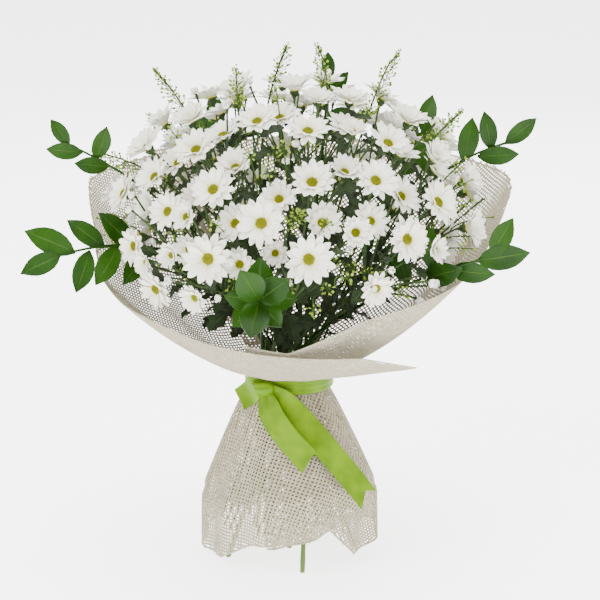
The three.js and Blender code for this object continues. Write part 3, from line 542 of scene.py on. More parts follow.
def noteBloom(spray, bloom):
    for point in stalkPath(spray.hub, bloom, 12)[1:12]:
        addBall(point, 4, spray)


# where a small bloom is tested: in its middle, half-way out, round its edge and along its stalk
def bloomProbes(spray, bloom):
    cup = math.radians(bloom.cup)
    points = [bloom.at, bloom.at - bloom.normal * 0.3 * bloom.radius]
    for k in range(12):
        turn = math.pi * k / 6
        out = bloom.axes @ Vector((math.cos(turn), math.sin(turn), math.tan(cup)))
        points += [bloom.at + out * share * bloom.radius * math.cos(cup) for share in (0.5, 1)]
    return points + stalkPath(spray.hub, bloom, 12)[3:12]


# adds the small blooms wherever they clear all that is there
def fillGaps():
    seed = 200
    for lift in fill["lifts"]:
        for k in range(fill["places"]):
            seed += 1
            s = 1 - ((k + 0.5) / fill["places"]) * (1 - fill["lowest"])
            at, cup = domePoint(k * goldenAngle, s, lift), 24 + 26 * chance(seed + 0.9)
            radius = lerp(fill["least"], fill["most"], chance(seed + 0.6))
            bloom = SimpleNamespace(at=at, cup=cup, radius=radius)
            dress(bloom, seed)
            spray = sprayOf(bloom.at, sprays)
            if clearances([bloomProbes(spray, bloom)], spray)[0] < fill["room"]:
                continue
            spray.blooms.append(bloom)
            blooms.append(bloom)
            noteBloom(spray, bloom)


def placesBefore(stem, distances):
    return [stem.before(distance) for distance in distances]


branches = [
    SimpleNamespace(name=f"ruscus_{name}", stem=SpiralStem(rings[ring], end, keep), count=count,
                    leaf=leaf, up=up, roll=roll)
    for name, end, keep, count, leaf, up, roll, ring in ruscusBranches
]
racemes = [
    SimpleNamespace(name=f"pennycress_{i + 1:02d}", stem=SpiralStem(rings[ring], end, keep),
                    length=length, end=Vector(end), tufts=[])
    for i, (end, length, keep, ring) in enumerate(pennycressTips)
]
for spray in sprays:
    addBall(spray.hub, hubRadius + 1, spray)
    for bloom in spray.blooms:
        noteBloom(spray, bloom)
    noteStem(spray.stem, spray.stem.ring["radius"])
for grown in branches + racemes:
    noteStem(grown.stem, rings["middle"]["radius"])
for branch in branches:
    branch.leaves = layRuscus(branch)
podCounts = [notePods(raceme) for raceme in racemes]
fillGaps()
for spray in sprays:
    distances = (12, 34, 58) if spray.isOuter else (12, 36)
    spray.leaves = growLeaves(spray.stem, placesBefore(spray.stem, distances), sprayLeaf, 0)
print("blooms:", [len(spray.blooms) for spray in sprays], "leaves:", [len(spray.leaves) for spray in sprays],
      "ruscus:", [len(branch.leaves) for branch in branches], "pods:", podCounts)

# what shows between the blooms: buds, tufts of pods and small leaves, wherever there is room
between = {
    "places": 420, "lifts": (1.1, 1.03, 0.95, 0.84), "lowest": -0.42, "room": 0.3,
    "bud": (4.2, 6.4), "tuft": 9.5, "tuftShare": 0.5, "budShare": 0.18, "fromNet": 8,
    "onStalk": (0.45, 0.75), "onStem": (5, 22, 46, 70, 92),
}


# how far a point lies inside the net
def wrapRoom(at):
    return float(netReach(azimuthOf(at), at.z)) - math.hypot(at.x, at.y)


# The draws are made for every place, and share out what grows at the places inside the wrap.
def layBuds():
    seed = 900
    for lift in between["lifts"]:
        for k in range(between["places"]):
            seed += 1
            s = 1 - ((k + 0.5) / between["places"]) * (1 - between["lowest"])
            at = Vector(domePoint(k * goldenAngle + 30, s, lift))
            bud = SimpleNamespace(at=at, radius=lerp(*between["bud"], chance(seed)), cup=0)
            dress(bud, seed)
            spray = sprayOf(at, sprays)
            kind = chance(seed + 0.4)
            isTuft = kind < between["tuftShare"]
            if (between["tuftShare"] < kind < 1 - between["budShare"]
                    or wrapRoom(at) < between["fromNet"]):
                continue
            reach = between["tuft"] if isTuft else bud.radius
            probes = [at + bud.normal * 0.6 * reach * (j - 1) for j in range(3)]
            if clearances([probes], spray)[0] < between["room"] + 0.7 * reach:
                continue
            if isTuft:
                nearest = min(racemes, key=lambda raceme: (raceme.end - at).length)
                nearest.tufts.append(bud)
            else:
                spray.buds.append(bud)
            addBall(at, reach, bud)


layBuds()
for spray in sprays:
    spray.small = growLeaves(spray.stem, placesBefore(spray.stem, between["onStem"]), smallLeaf, 0, 10)
    for bloom in spray.blooms:
        points = stalkPath(spray.hub, bloom, 20)
        places = [(points[int(20 * t)], (points[int(20 * t) + 1] - points[int(20 * t)]).normalized())
                  for t in between["onStalk"]]
        spray.small += growLeaves(spray, places, smallLeaf, 0, 8)
print("buds:", sum(len(spray.buds) for spray in sprays), "tufts:", sum(len(r.tufts) for r in racemes),
      "small leaves:", sum(len(spray.small) for spray in sprays))


# ---- shader expressions ----

# One output socket of a material's tree. Sums and products with it add Math nodes, and add() makes
# any other node.
class Wire:
    def __init__(self, tree, socket=None):
        self.tree, self.socket = tree, socket

    def add(self, kind, settings=None, inputs=None, output=0):
        node = self.tree.nodes.new(kind)
        for key, value in (settings or {}).items():
            setattr(node, key, value)
        for key, value in (inputs or {}).items():
            if isinstance(value, Wire):
                self.tree.links.new(value.socket, node.inputs[key])
            else:
                node.inputs[key].default_value = value
        return Wire(self.tree, node.outputs[output])

    def math(self, operation, first, second=0.0):
        return self.add("ShaderNodeMath", {"operation": operation}, {0: first, 1: second})

    def __add__(self, other):
        return self.math("ADD", self, other)

    def __radd__(self, other):
        return self.math("ADD", other, self)

    def __sub__(self, other):
        return self.math("SUBTRACT", self, other)

    def __rsub__(self, other):
        return self.math("SUBTRACT", other, self)

    def __mul__(self, other):
        return self.math("MULTIPLY", self, other)

    def __rmul__(self, other):
        return self.math("MULTIPLY", other, self)

    def absolute(self):
        return self.math("ABSOLUTE", self)

    def sine(self):
        return self.math("SINE", self)

    # 0 below start, 1 above end and a straight line between
    def ramp(self, start, end):
        return self.add("ShaderNodeMapRange", {"clamp": True}, {0: self, 1: start, 2: end})

    # one colour where this is 0 and another where it is 1
    def mix(self, low, high):
        low, high = ((*c, 1) if isinstance(c, tuple) else c for c in (low, high))
        return self.add("ShaderNodeMix", {"data_type": "RGBA"}, {0: self, 6: low, 7: high}, 2)


# A material with a Principled shader: make(wire) returns what its sockets read, and fixed are its
# even values. "Height" is a bump, in metres.
def newMaterial(name, fixed, make):
    material = bpy.data.materials.new(name)
    material.use_nodes = True
    tree = material.node_tree
    shader = tree.nodes["Principled BSDF"]
    for key, value in fixed.items():
        shader.inputs[key].default_value = value
    wire = Wire(tree)
    for key, value in make(wire).items():
        if key == "Height":
            value = wire.add("ShaderNodeBump", {}, {"Strength": 1.0, "Distance": 1.0, "Height": value})
            key = "Normal"
        tree.links.new(value.socket, shader.inputs[key])
    return material


def place(wire, scale=(1, 1, 1)):
    spot = wire.add("ShaderNodeTexCoord", output="Object")
    return wire.add("ShaderNodeMapping", {}, {"Vector": spot, "Scale": scale})


def cloud(wire, size, detail=2.0, vector=None):
    return wire.add("ShaderNodeTexNoise", {}, {"Vector": vector or place(wire), "Scale": 1 / size,
                                              "Detail": detail})


# across and along a blade, both from 0 to 1
def bladeMap(wire):
    spot = wire.add("ShaderNodeUVMap", {"uv_map": "bladeMap"})
    return tuple(wire.add("ShaderNodeSeparateXYZ", {}, {0: spot}, k) for k in (0, 1))


def attribute(wire, name):
    return wire.add("ShaderNodeAttribute", {"attribute_name": name}, {}, 2)


# ---- making meshes ----

def newMesh():
    bm = bmesh.new()
    bm.loops.layers.uv.new("bladeMap")
    bm.faces.layers.float.new("under")
    bm.verts.layers.float.new("tone")
    return bm


# One side of a blade: form(across, along) places the points of a flat grid, across from -1 to 1 and
# along from 0 to 1.
def addBlade(bm, acrossSteps, alongSteps, form, tone=0.5):
    toneLayer = bm.verts.layers.float["tone"]
    for point in bmesh.ops.create_grid(bm, x_segments=acrossSteps, y_segments=alongSteps, size=1,
                                       calc_uvs=True)["verts"]:
        point.co = form(point.co.x, 0.5 * point.co.y + 0.5)
        point[toneLayer] = tone


# Gives all the blades of a mesh their thickness, and marks their lower sides as under.
def thicken(bm, thickness):
    bm.normal_update()
    under = bm.faces.layers.float["under"]
    for part in bmesh.ops.solidify(bm, geom=bm.faces[:], thickness=thickness)["geom"]:
        if isinstance(part, bmesh.types.BMFace):
            part[under] = 1


# Round lengths along paths of (points, radii), with closed ends. Sides is 4, 6 or 8.
def addTubes(bm, paths, sides):
    curve = bpy.data.curves.new("path", "CURVE")
    curve.dimensions = "3D"
    curve.bevel_depth = 1
    curve.bevel_resolution = (sides - 4) // 2
    curve.use_fill_caps = True
    for points, radii in paths:
        spline = curve.splines.new("POLY")
        spline.points.add(len(points) - 1)
        spline.points.foreach_set("co", [value for point in points for value in (*point, 1)])
        spline.points.foreach_set("radius", list(radii))
    holder = bpy.data.objects.new("path", curve)
    mesh = bpy.data.meshes.new_from_object(holder)
    tubes = bmesh.new()
    tubes.from_mesh(mesh)
    bmesh.ops.remove_doubles(tubes, verts=tubes.verts, dist=1e-4)
    tubes.to_mesh(mesh)
    tubes.free()
    mesh.uv_layers.remove(mesh.uv_layers[0])
    bm.from_mesh(mesh)
    bpy.data.objects.remove(holder)
    bpy.data.curves.remove(curve)
    bpy.data.meshes.remove(mesh)


def moveAndTurn(bm, points, matrix, centre):
    bmesh.ops.transform(bm, matrix=Matrix.Translation(centre) @ matrix.to_4x4(), verts=points)


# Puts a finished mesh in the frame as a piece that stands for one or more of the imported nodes.
def finishPiece(name, bm, material, nodes, sharp=55):
    bm.transform(toFrame)
    bmesh.ops.recalc_face_normals(bm, faces=bm.faces)
    for face in bm.faces:
        face.smooth = True
    mesh = bpy.data.meshes.new(name)
    bm.to_mesh(mesh)
    bm.free()
    mesh.set_sharp_from_angle(angle=math.radians(sharp))
    mesh.materials.append(material)
    piece = bpy.data.objects.new(name, mesh)
    bpy.context.scene.collection.objects.link(piece)
    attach(piece, "root")
    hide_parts(*nodes)
    return piece


# ---- blooms ----

petal = {
    # length and half width are shares of the bloom's radius; lift and recurve, by which a petal bends
    # from its root to its tip, are in degrees
    "outer": {"count": 14, "length": 1.0, "half": 0.15, "lift": -2, "recurve": 20},
    "inner": {"count": 10, "length": 0.86, "half": 0.142, "lift": 15, "recurve": 18},
    "closed": {"count": 8, "length": 1.5, "half": 0.5, "lift": 88, "recurve": -120},
    "root": 0.17,  # where the rows start, as a share of the bloom's radius
    "trough": 0.34,
    "groove": 0.14,
    "thickness": 0.4,
    # half width along a petal
    "outline": [(0, 0.36), (0.2, 0.7), (0.42, 0.97), (0.64, 1.0), (0.85, 0.68), (1, 0.16)],
}
disc = {"radius": 0.2, "height": 0.13, "florets": 40, "floret": 0.62}


def petalMaterial():
    def make(wire):
        across, along = bladeMap(wire)
        grooves = (across * 25.0).sine()
        streaks = cloud(wire, 0.0016, 3)
        blush = cloud(wire, 0.05, 1).ramp(0.42, 0.62)
        white = attribute(wire, "tone").mix((0.82, 0.805, 0.70), (0.94, 0.935, 0.87))
        base = along.ramp(0.56, 0.08)
        colour = (base * base).mix(white, (0.74, 0.74, 0.12))
        colour = (attribute(wire, "under") * 0.35).mix(colour, (0.80, 0.79, 0.66))
        colour = (blush * 0.08).mix(colour, (0.78, 0.76, 0.66))
        height = (grooves * 0.00012 + streaks * 0.00010) * along.ramp(0.0, 0.3)
        return {"Base Color": colour, "Roughness": 0.5 + 0.25 * streaks, "Height": height}

    fixed = {"Specular IOR Level": 0.3, "Sheen Weight": 0.15}
    return newMaterial("petal_white", fixed, make)


def discMaterial():
    def make(wire):
        ring = attribute(wire, "tone")
        grain = cloud(wire, 0.0007, 2)
        colour = ring.ramp(0.15, 0.95).mix((0.085, 0.115, 0.0), (0.19, 0.175, 0.0))
        # painted highlight: lighter yellow specks where the grain is high stand in for light caught by the
        # florets; the same grain also gives the roughness and bump
        colour = (grain.ramp(0.35, 0.75) * 0.4).mix(colour, (0.27, 0.25, 0.0))
        return {"Base Color": colour, "Roughness": 0.55 + 0.3 * grain, "Height": grain * 0.0002}

    return newMaterial("disc_florets", {"Specular IOR Level": 0.12}, make)


def stalkMaterial():
    def make(wire):
        patches = cloud(wire, 0.012, 3)
        ribs = cloud(wire, 0.0012, 2, place(wire, (1, 1, 0.12)))
        spot = wire.add("ShaderNodeTexCoord", output="Object")
        height = wire.add("ShaderNodeSeparateXYZ", {}, {0: spot}, 2)
        colour = patches.ramp(0.3, 0.7).mix((0.018, 0.036, 0.010), (0.045, 0.078, 0.020))
        colour = height.ramp(0.26, 0.06).mix(colour, (0.10, 0.16, 0.035))
        colour = height.ramp(0.0012, 0.0002).mix(colour, (0.42, 0.44, 0.22))
        colour = (ribs.ramp(0.45, 0.7) * 0.25).mix(colour, (0.11, 0.16, 0.06))
        return {"Base Color": colour, "Roughness": 0.45 + 0.3 * patches, "Height": ribs * 0.0004}

    return newMaterial("stalk_green", {"Specular IOR Level": 0.2}, make)


# One row of petals round a bloom.
def addPetalRow(bm, bloom, row, turn):
    start = petal["root"] * bloom.radius
    for i in range(row["count"]):
        seed = bloom.seed * 3.7 + i * 1.31 + row["count"]
        angle = turn + 2 * math.pi * (i + spread(seed, 0.16)) / row["count"]
        long = (bloom.radius - start) * row["length"] * (0.94 + spread(seed + 0.3, 0.1))
        half = row["half"] * bloom.radius * (1 + spread(seed + 0.5, 0.1))
        lift = bloom.cup + row["lift"] + spread(seed + 0.7, 9)
        recurve = row["recurve"] + spread(seed + 0.9, 8)
        roll = spread(seed + 1.1, 0.22)
        # where the middle of the petal runs, out and up
        outline = petal["outline"]
        path = [(0, 0)]
        for (before, _), (after, _) in zip(outline, outline[1:]):
            rise = math.radians(lift + recurve * (0.5 - 0.5 * (before + after)))
            step = (after - before) * long
            path.append((path[-1][0] + step * math.cos(rise), path[-1][1] + step * math.sin(rise)))
        axes = bloom.axes @ Matrix.Rotation(angle, 3, "Z")

        def form(across, along):
            k = round(along * (len(outline) - 1))
            width = half * outline[k][1]
            out, up = path[k]
            side = across * width
            up += width * (petal["trough"] * across * across * (1 - 0.7 * along)
                           + petal["groove"] * math.sin(math.pi * abs(across))) + side * roll
            if k == len(outline) - 1:
                out -= long * (0.045 * across * across + 0.035 * (1 - abs(2 * abs(across) - 1)) - 0.02)
                out += long * spread(seed + across, 0.012)
            return bloom.at + axes @ Vector((start + out, side, up + 0.3))

        addBlade(bm, 4, len(outline) - 1, form, 0.35 + 0.65 * chance(seed + 2))


# The button of florets, open at its rim and still closed and green in the middle.
def addDisc(bm, bloom):
    radius, height = disc["radius"] * bloom.radius, disc["height"] * bloom.radius
    tone = bm.verts.layers.float["tone"]
    button = bmesh.ops.create_uvsphere(bm, u_segments=14, v_segments=8, radius=1)["verts"]
    for point in button:
        point[tone] = math.hypot(point.co.x, point.co.y)
        point.co = Vector((point.co.x * radius, point.co.y * radius,
                           max(point.co.z, -0.15) * height * 0.95))
    moveAndTurn(bm, button, bloom.axes, bloom.at + bloom.normal * 0.6)
    for k in range(disc["florets"]):
        share = math.sqrt((k + 0.5) / disc["florets"])
        turn = math.radians(goldenAngle * k)
        foot = Vector((share * radius * math.cos(turn), share * radius * math.sin(turn),
                       height * math.sqrt(1 - 0.9 * share * share) + 0.3))
        long = 1.1 + 0.9 * share
        floret = bmesh.ops.create_cone(bm, cap_ends=True, segments=5, radius1=0.45 * disc["floret"],
                                       radius2=disc["floret"], depth=long)["verts"]
        for point in floret:
            point[tone] = share
        lean = axesAlong(Vector((foot.x * 0.5, foot.y * 0.5, radius)))
        moveAndTurn(bm, floret, bloom.axes @ lean, bloom.at + bloom.axes @ foot)


# The bracts behind a bloom.
def addBracts(bm, bloom):
    for k in range(8):
        out = bloom.axes @ Matrix.Rotation(math.pi * (k + spread(k + bloom.radius, 0.1)) / 4, 3, "Z")

        def form(across, along):
            side = across * bloom.radius * 0.07 * (1 - along) ** 0.6
            return bloom.at + out @ Vector(((0.1 + 0.13 * along) * bloom.radius, side,
                                            (0.2 * along - 0.25) * bloom.radius - 0.12 * abs(side)))

        addBlade(bm, 2, 2, form)


# The green cup behind a bloom, on which the bracts lie.
def addCalyx(bm, bloom):
    profile = [(0, -0.36), (0.05, -0.34), (0.09, -0.28), (0.15, -0.2), (0.18, -0.09), (0.15, -0.01),
               (0, 0)]
    points = [bm.verts.new(Vector((out * bloom.radius, 0, up * bloom.radius))) for out, up in profile]
    edges = [bm.edges.new(pair) for pair in zip(points, points[1:])]
    known = set(bm.verts)
    bmesh.ops.spin(bm, geom=points + edges, cent=(0, 0, 0), axis=(0, 0, 1), angle=2 * math.pi, steps=9,
                   use_merge=True, use_duplicate=False)
    cup = [point for point in points if point.is_valid]
    cup += [point for point in bm.verts if point not in known]
    bmesh.ops.remove_doubles(bm, verts=cup, dist=1e-3)
    moveAndTurn(bm, [point for point in cup if point.is_valid], bloom.axes, bloom.at)


def buildBlooms(spray, materials):
    petals, discs, stalks = newMesh(), newMesh(), newMesh()
    for bloom in spray.blooms:
        addPetalRow(petals, bloom, petal["outer"], 0)
        addPetalRow(petals, bloom, petal["inner"], 0.2)
        addDisc(discs, bloom)
    for bud in spray.buds:
        addPetalRow(petals, bud, petal["closed"], 0)
    thicken(petals, petal["thickness"])
    paths = []
    for bloom in spray.blooms + spray.buds:
        addBracts(stalks, bloom)
        points = stalkPath(spray.hub, bloom, 12)
        paths.append((points, [1.5 - 0.5 * min(1, 4 * k / 12) + 0.4 * max(0, k - 10) for k in range(13)]))
    thicken(stalks, 0.4)
    for bloom in spray.blooms + spray.buds:
        addCalyx(stalks, bloom)
    addTubes(stalks, paths, 6)
    knot = bmesh.ops.create_icosphere(stalks, subdivisions=2, radius=hubRadius)["verts"]
    moveAndTurn(stalks, knot, Matrix.Diagonal((0.85, 0.85, 1.1)), spray.hub)
    node = spray.name + "_blooms"
    finishPiece(spray.name + "_petals", petals, materials["petal"], [node], sharp=40)
    finishPiece(spray.name + "_discs", discs, materials["disc"], [node])
    finishPiece(spray.name + "_stalks", stalks, materials["stalk"], [node])


# ---- leafy stems ----

chrysanthemumLeaf = {
    # along, half width, forward shift of the edge
    "outline": [(0, 0.05, 0), (0.1, 0.07, 0), (0.2, 0.24, 0.02), (0.3, 0.44, 0.07), (0.38, 0.30, 0.02),
                (0.45, 0.2, 0), (0.54, 0.36, 0.05), (0.66, 0.52, 0.09), (0.74, 0.38, 0.03), (0.8, 0.26, 0.0),
                (0.88, 0.26, 0.04), (0.95, 0.13, 0.01), (1, 0.015, 0)],
    "thickness": 0.55,
    "droop": 0.12,
}
stemShape = {"steps": 36, "swelling": 0.1225}


def leafMaterial(name, dark, light, under, vein, gloss, veins):
    def make(wire):
        across, along = bladeMap(wire)
        middle = (across - 0.5).absolute()
        rib = middle.ramp(0.05, 0.012)
        # side veins run forward from the rib
        slanted = (along - middle * 0.55) * veins
        sides = slanted.sine().ramp(0.86, 1.0) * middle.ramp(0.0, 0.06)
        patches = cloud(wire, 0.014, 3)
        grain = cloud(wire, 0.0011, 2)
        colour = patches.ramp(0.32, 0.68).mix(dark, light)
        colour = (attribute(wire, "tone") * 0.5).mix(colour, light)
        colour = ((rib + sides * 0.5) * 0.55).mix(colour, vein)
        colour = (attribute(wire, "under") * 0.6).mix(colour, under)
        height = (rib * -0.5 - sides * 0.35 + grain * 0.35 + patches * 0.4) * 0.0006
        return {"Base Color": colour, "Roughness": gloss + 0.22 * grain, "Height": height}

    return newMaterial(name, {"Specular IOR Level": 0.22}, make)


# A lobed leaf with its halves folded up and its tip drooping.
def addLobedLeaf(bm, leaf, tone):
    outline = chrysanthemumLeaf["outline"]
    seed = leaf.root.x + leaf.root.z

    def form(across, along):
        k = round(along * (len(outline) - 1))
        share, half, shift = outline[k]
        side = across * half * (1 + spread(seed + k, 0.12))
        raised = leaf.fold * abs(side) * leaf.width + 0.6 * math.sin(2.1 * k + seed) * abs(across)
        raised -= chrysanthemumLeaf["droop"] * leaf.length * share ** 3
        return leafAt(leaf, share + shift * abs(across) ** 1.5, side, raised)

    addBlade(bm, 4, len(outline) - 1, form, tone)


def stemPath(stem, cut, radius):
    points = stem.spacedPoints(stemShape["steps"])
    kept = [Vector(point) for point in points]
    first = next(k for k, point in enumerate(kept) if point.z > cut)
    below, above = kept[first - 1], kept[first]
    foot = below.lerp(above, (cut - below.z) / (above.z - below.z))
    kept = [foot] + kept[first:]
    radii = [radius * (1.06 - 0.16 * k / len(kept) + stemShape["swelling"] * (k % 4 == 2))
             for k in range(len(kept))]
    return kept, radii


# Cuts the foot of each stem level and closes it.
def levelFeet(bm, cut):
    geometry = bm.verts[:] + bm.edges[:] + bm.faces[:]
    made = bmesh.ops.bisect_plane(bm, geom=geometry, dist=1e-4, plane_co=(0, 0, cut),
                                  plane_no=(0, 0, -1), clear_outer=True)["geom_cut"]
    bmesh.ops.edgeloop_fill(bm, edges=[part for part in made if isinstance(part, bmesh.types.BMEdge)])


def buildStem(spray, materials):
    bm = newMesh()
    addTubes(bm, [stemPath(spray.stem, max(spray.cut - 3, -6), spray.stem.ring["radius"])], 8)
    levelFeet(bm, spray.cut)
    finishPiece(spray.name + "_stem", bm, materials["stalk"], [spray.name + "_leafy_stem"])
    bm = newMesh()
    for k, leaf in enumerate(spray.leaves + spray.small):
        addLobedLeaf(bm, leaf, chance(k + leaf.root.x))
    thicken(bm, chrysanthemumLeaf["thickness"])
    finishPiece(spray.name + "_leaves", bm, materials["leaf"], [spray.name + "_leafy_stem"])


# ---- ruscus ----

ruscusShape = {
    "outline": [(0, 0.045), (0.05, 0.12), (0.13, 0.27), (0.26, 0.42), (0.4, 0.485), (0.55, 0.5), (0.7, 0.43),
                (0.82, 0.30), (0.92, 0.14), (1, 0.01)],
    "thickness": 0.7,
}


def ruscusMaterial():
    def make(wire):
        across = bladeMap(wire)[0]
        middle = (across - 0.5).absolute()
        rib = middle.ramp(0.035, 0.008)
        lines = ((across - 0.5) * 62.0).sine().ramp(0.6, 1.0)
        patches = cloud(wire, 0.02, 2)
        grain = cloud(wire, 0.0009, 2)
        colour = patches.ramp(0.3, 0.7).mix((0.0045, 0.022, 0.0004), (0.011, 0.046, 0.0008))
        colour = (attribute(wire, "tone") * 0.45).mix(colour, (0.021, 0.073, 0.001))
        colour = (lines * 0.16).mix(colour, (0.03, 0.085, 0.006))
        colour = (rib * 0.5).mix(colour, (0.055, 0.11, 0.010))
        colour = (attribute(wire, "under") * 0.6).mix(colour, (0.035, 0.085, 0.008))
        height = (rib * -0.6 - lines * 0.15 + patches * 0.5 + grain * 0.1) * 0.0006
        return {"Base Color": colour, "Roughness": 0.24 + 0.2 * patches, "Height": height}

    fixed = {"Specular IOR Level": 0.12, "Coat Weight": 0.02, "Coat Roughness": 0.15}
    return newMaterial("ruscus_gloss", fixed, make)


def addRuscusLeaf(bm, leaf, tone):
    outline = ruscusShape["outline"]

    def form(across, along):
        k = round(along * (len(outline) - 1))
        share, half = outline[k]
        side = across * half
        raised = leaf.fold * abs(side) * leaf.width * (1 - 0.25 * abs(across))
        raised += 0.02 * leaf.length * math.sin(5 * share + 6 * tone) * across
        return leafAt(leaf, share, side, raised)

    addBlade(bm, 4, len(outline) - 1, form, tone)


def buildRuscus(branch, materials):
    bm = newMesh()
    for k, leaf in enumerate(branch.leaves):
        addRuscusLeaf(bm, leaf, chance(k * 1.7 + branch.leaf))
    thicken(bm, ruscusShape["thickness"])
    addTubes(bm, [stemPath(branch.stem, shortCut - 3, 1.35)], 6)
    levelFeet(bm, shortCut)
    finishPiece(branch.name + "_branch", bm, materials["ruscus"], [branch.name])


# ---- pennycress ----

podShape = {"spacing": 0.75, "radius": 1.5, "thickness": 1.1, "stalk": 0.28, "tuft": 32}


def podMaterial():
    def make(wire):
        grain = cloud(wire, 0.003, 3)
        fine = cloud(wire, 0.0006, 2)
        tone = attribute(wire, "tone")
        colour = tone.mix((0.030, 0.066, 0.004), (0.25, 0.35, 0.025))
        # painted highlight: lighter yellow-green specks where the grain is high, scaled by the tone, so none
        # falls where the tone is 0
        colour = (grain.ramp(0.4, 0.7) * tone * 0.5).mix(colour, (0.40, 0.48, 0.11))
        return {"Base Color": colour, "Roughness": 0.5 + 0.2 * fine, "Height": fine * 0.0002}

    return newMaterial("pennycress_green", {"Specular IOR Level": 0.2}, make)


# A flat round pod with a notch at its tip.
def addPod(bm, root, direction, length, radius, seed):
    axes = axesAlong(direction, 6.3 * chance(seed))
    tone = bm.verts.layers.float["tone"]
    pod = bmesh.ops.create_uvsphere(bm, u_segments=6, v_segments=4, radius=1)["verts"]
    for point in pod:
        point[tone] = 0.2 + 0.8 * chance(seed + 0.4)
        notch = 0.3 * max(0, point.co.z) ** 3 * (1 - min(1, 3 * abs(point.co.x)))
        point.co = Vector((point.co.x * radius, point.co.y * 0.5 * podShape["thickness"],
                           (point.co.z * 1.12 - notch) * radius))
    moveAndTurn(bm, pod, axes, root + direction * (length - 1.12 * radius))


def buildPennycress(raceme, materials):
    bm = newMesh()
    paths = [stemPath(raceme.stem, shortCut - 3, 1.0)]
    count = round(raceme.length / podShape["spacing"])
    pods = []
    for k in range(count):
        root, heading = raceme.stem.before(1.5 + podShape["spacing"] * k)
        young = max(0, 1 - 3 * k / count)
        lean = 0.95 - 0.6 * young + spread(k, 0.3) if k else 0.1
        direction = leaning(axesAlong(heading), lean, math.radians(goldenAngle * k))
        length = 12.5 * (1 - 0.45 * young) * lerp(0.55, 1, chance(k + raceme.length))
        pods.append((root, direction, length, podShape["radius"] * (1 - 0.3 * young), k))
    for i, tuft in enumerate(raceme.tufts):
        foot = tuft.at - tuft.normal * between["tuft"]
        inner = foot - tuft.normal * 30
        paths.append((bezier(inner + Vector((0, 0, -14)), inner, foot, 6), [0.7] * 7))
        paths.append(([foot, tuft.at + tuft.normal * 4], [0.7, 0.4]))
        for k in range(podShape["tuft"]):
            share = k / podShape["tuft"]
            direction = leaning(tuft.axes, lerp(1.35, 0.15, share), math.radians(goldenAngle * k))
            root = foot.lerp(tuft.at + tuft.normal * 4, share)
            length = lerp(8.5, 5, share) * lerp(0.75, 1.1, chance(k + 7 * i))
            radius = podShape["radius"] * lerp(1, 0.75, share)
            pods.append((root, direction, length, radius, k + 50 * i))
    tips = [[root + direction * length, root + direction * 0.6 * length]
            for root, direction, length, _, _ in pods]
    for (root, direction, length, radius, seed), room in zip(pods, clearances(tips, raceme.stem)):
        if room < -4:
            continue
        addPod(bm, root, direction, length, radius, seed + raceme.length)
        paths.append(([root, root + direction * (length - 1.9 * radius)], [podShape["stalk"]] * 2))
    addTubes(bm, paths, 4)
    levelFeet(bm, shortCut)
    finishPiece(raceme.name + "_raceme", bm, materials["pod"], [raceme.name])


# ---- the net wrap ----

net = {
    "pitch": 3.6,
    "thread": 1.85,
    "thickness": 0.45,
    "segment": 7.0,
    "apart": 0.14,  # the two sets of threads lie this far to either side of the sheet
}


def netMaterial():
    def make(wire):
        fibres = cloud(wire, 0.0004, 2)
        slubs = cloud(wire, 0.006, 3)
        stains = cloud(wire, 0.07, 2)
        colour = slubs.ramp(0.3, 0.7).mix((0.25, 0.215, 0.14), (0.38, 0.34, 0.24))
        # painted highlight: lighter specks along the fibres stand in for the gloss of the thread; the same
        # noise gives the roughness and bump
        colour = (fibres.ramp(0.35, 0.7) * 0.4).mix(colour, (0.50, 0.46, 0.35))
        colour = (stains.ramp(0.45, 0.7) * 0.3).mix(colour, (0.31, 0.26, 0.16))
        return {"Base Color": colour, "Roughness": 0.75 + 0.2 * fibres, "Height": fibres * 0.0003}

    return newMaterial("net_thread", {"Specular IOR Level": 0.15, "Sheen Weight": 0.1}, make)


# The flat pattern of one half of a sheet, above or below the tie. A place on it is a distance from the
# cone's point and an angle there, so that threads stay straight and evenly spaced.
def netPattern(sheet, sign):
    azimuths = np.linspace(sheet["from"], sheet["to"], 241)
    levels = np.linspace(0.45, 2, 80) * sign
    grid = netPoints(sheet, azimuths[:, None], levels[None, :])
    plain = np.linalg.norm(np.diff(grid, axis=1), axis=2)
    lengths = np.concatenate([np.zeros((len(azimuths), 1)), np.cumsum(plain, axis=1)], axis=1)
    # the cone's point lies below the neck by the neck's radius over the sine of the slope
    if sign > 0:
        rise = np.hypot(grid[:, -1, 0], grid[:, -1, 1]) - wrap["neck"]
        slope = rise / (lengths[:, -1] - lengths[:, 17])
    else:
        slope = np.full(len(azimuths), 0.42)
    step = math.radians(azimuths[1] - azimuths[0])
    turns = 0.5 * (slope[1:] + slope[:-1]) * step
    turn = np.concatenate([[0], np.cumsum(turns)])
    turn -= turn[-1] / 2
    start = wrap["neck"] / slope
    return SimpleNamespace(sheet=sheet, azimuths=azimuths, levels=levels, lengths=lengths, turn=turn,
                           start=start)


# Azimuth and level of places on a flat pattern, with a mask of those that are on the sheet.
def onSheet(pattern, x, y):
    far, turn = np.hypot(x, y), np.arctan2(x, y)
    isOn = (turn > pattern.turn[0]) & (turn < pattern.turn[-1])
    azimuth = np.interp(turn, pattern.turn, pattern.azimuths)
    slant = far - np.interp(turn, pattern.turn, pattern.start)
    share = np.interp(azimuth, pattern.azimuths, np.arange(len(pattern.azimuths)))
    low = np.clip(share.astype(int), 0, len(pattern.azimuths) - 2)
    level = np.empty(len(x))
    for i, (k, part) in enumerate(zip(low, share - low)):
        lengths = lerp(pattern.lengths[k], pattern.lengths[k + 1], part)
        level[i] = np.interp(slant[i], lengths, pattern.levels)
        isOn[i] &= 0 < slant[i] < lengths[-1]
    return azimuth, level, isOn


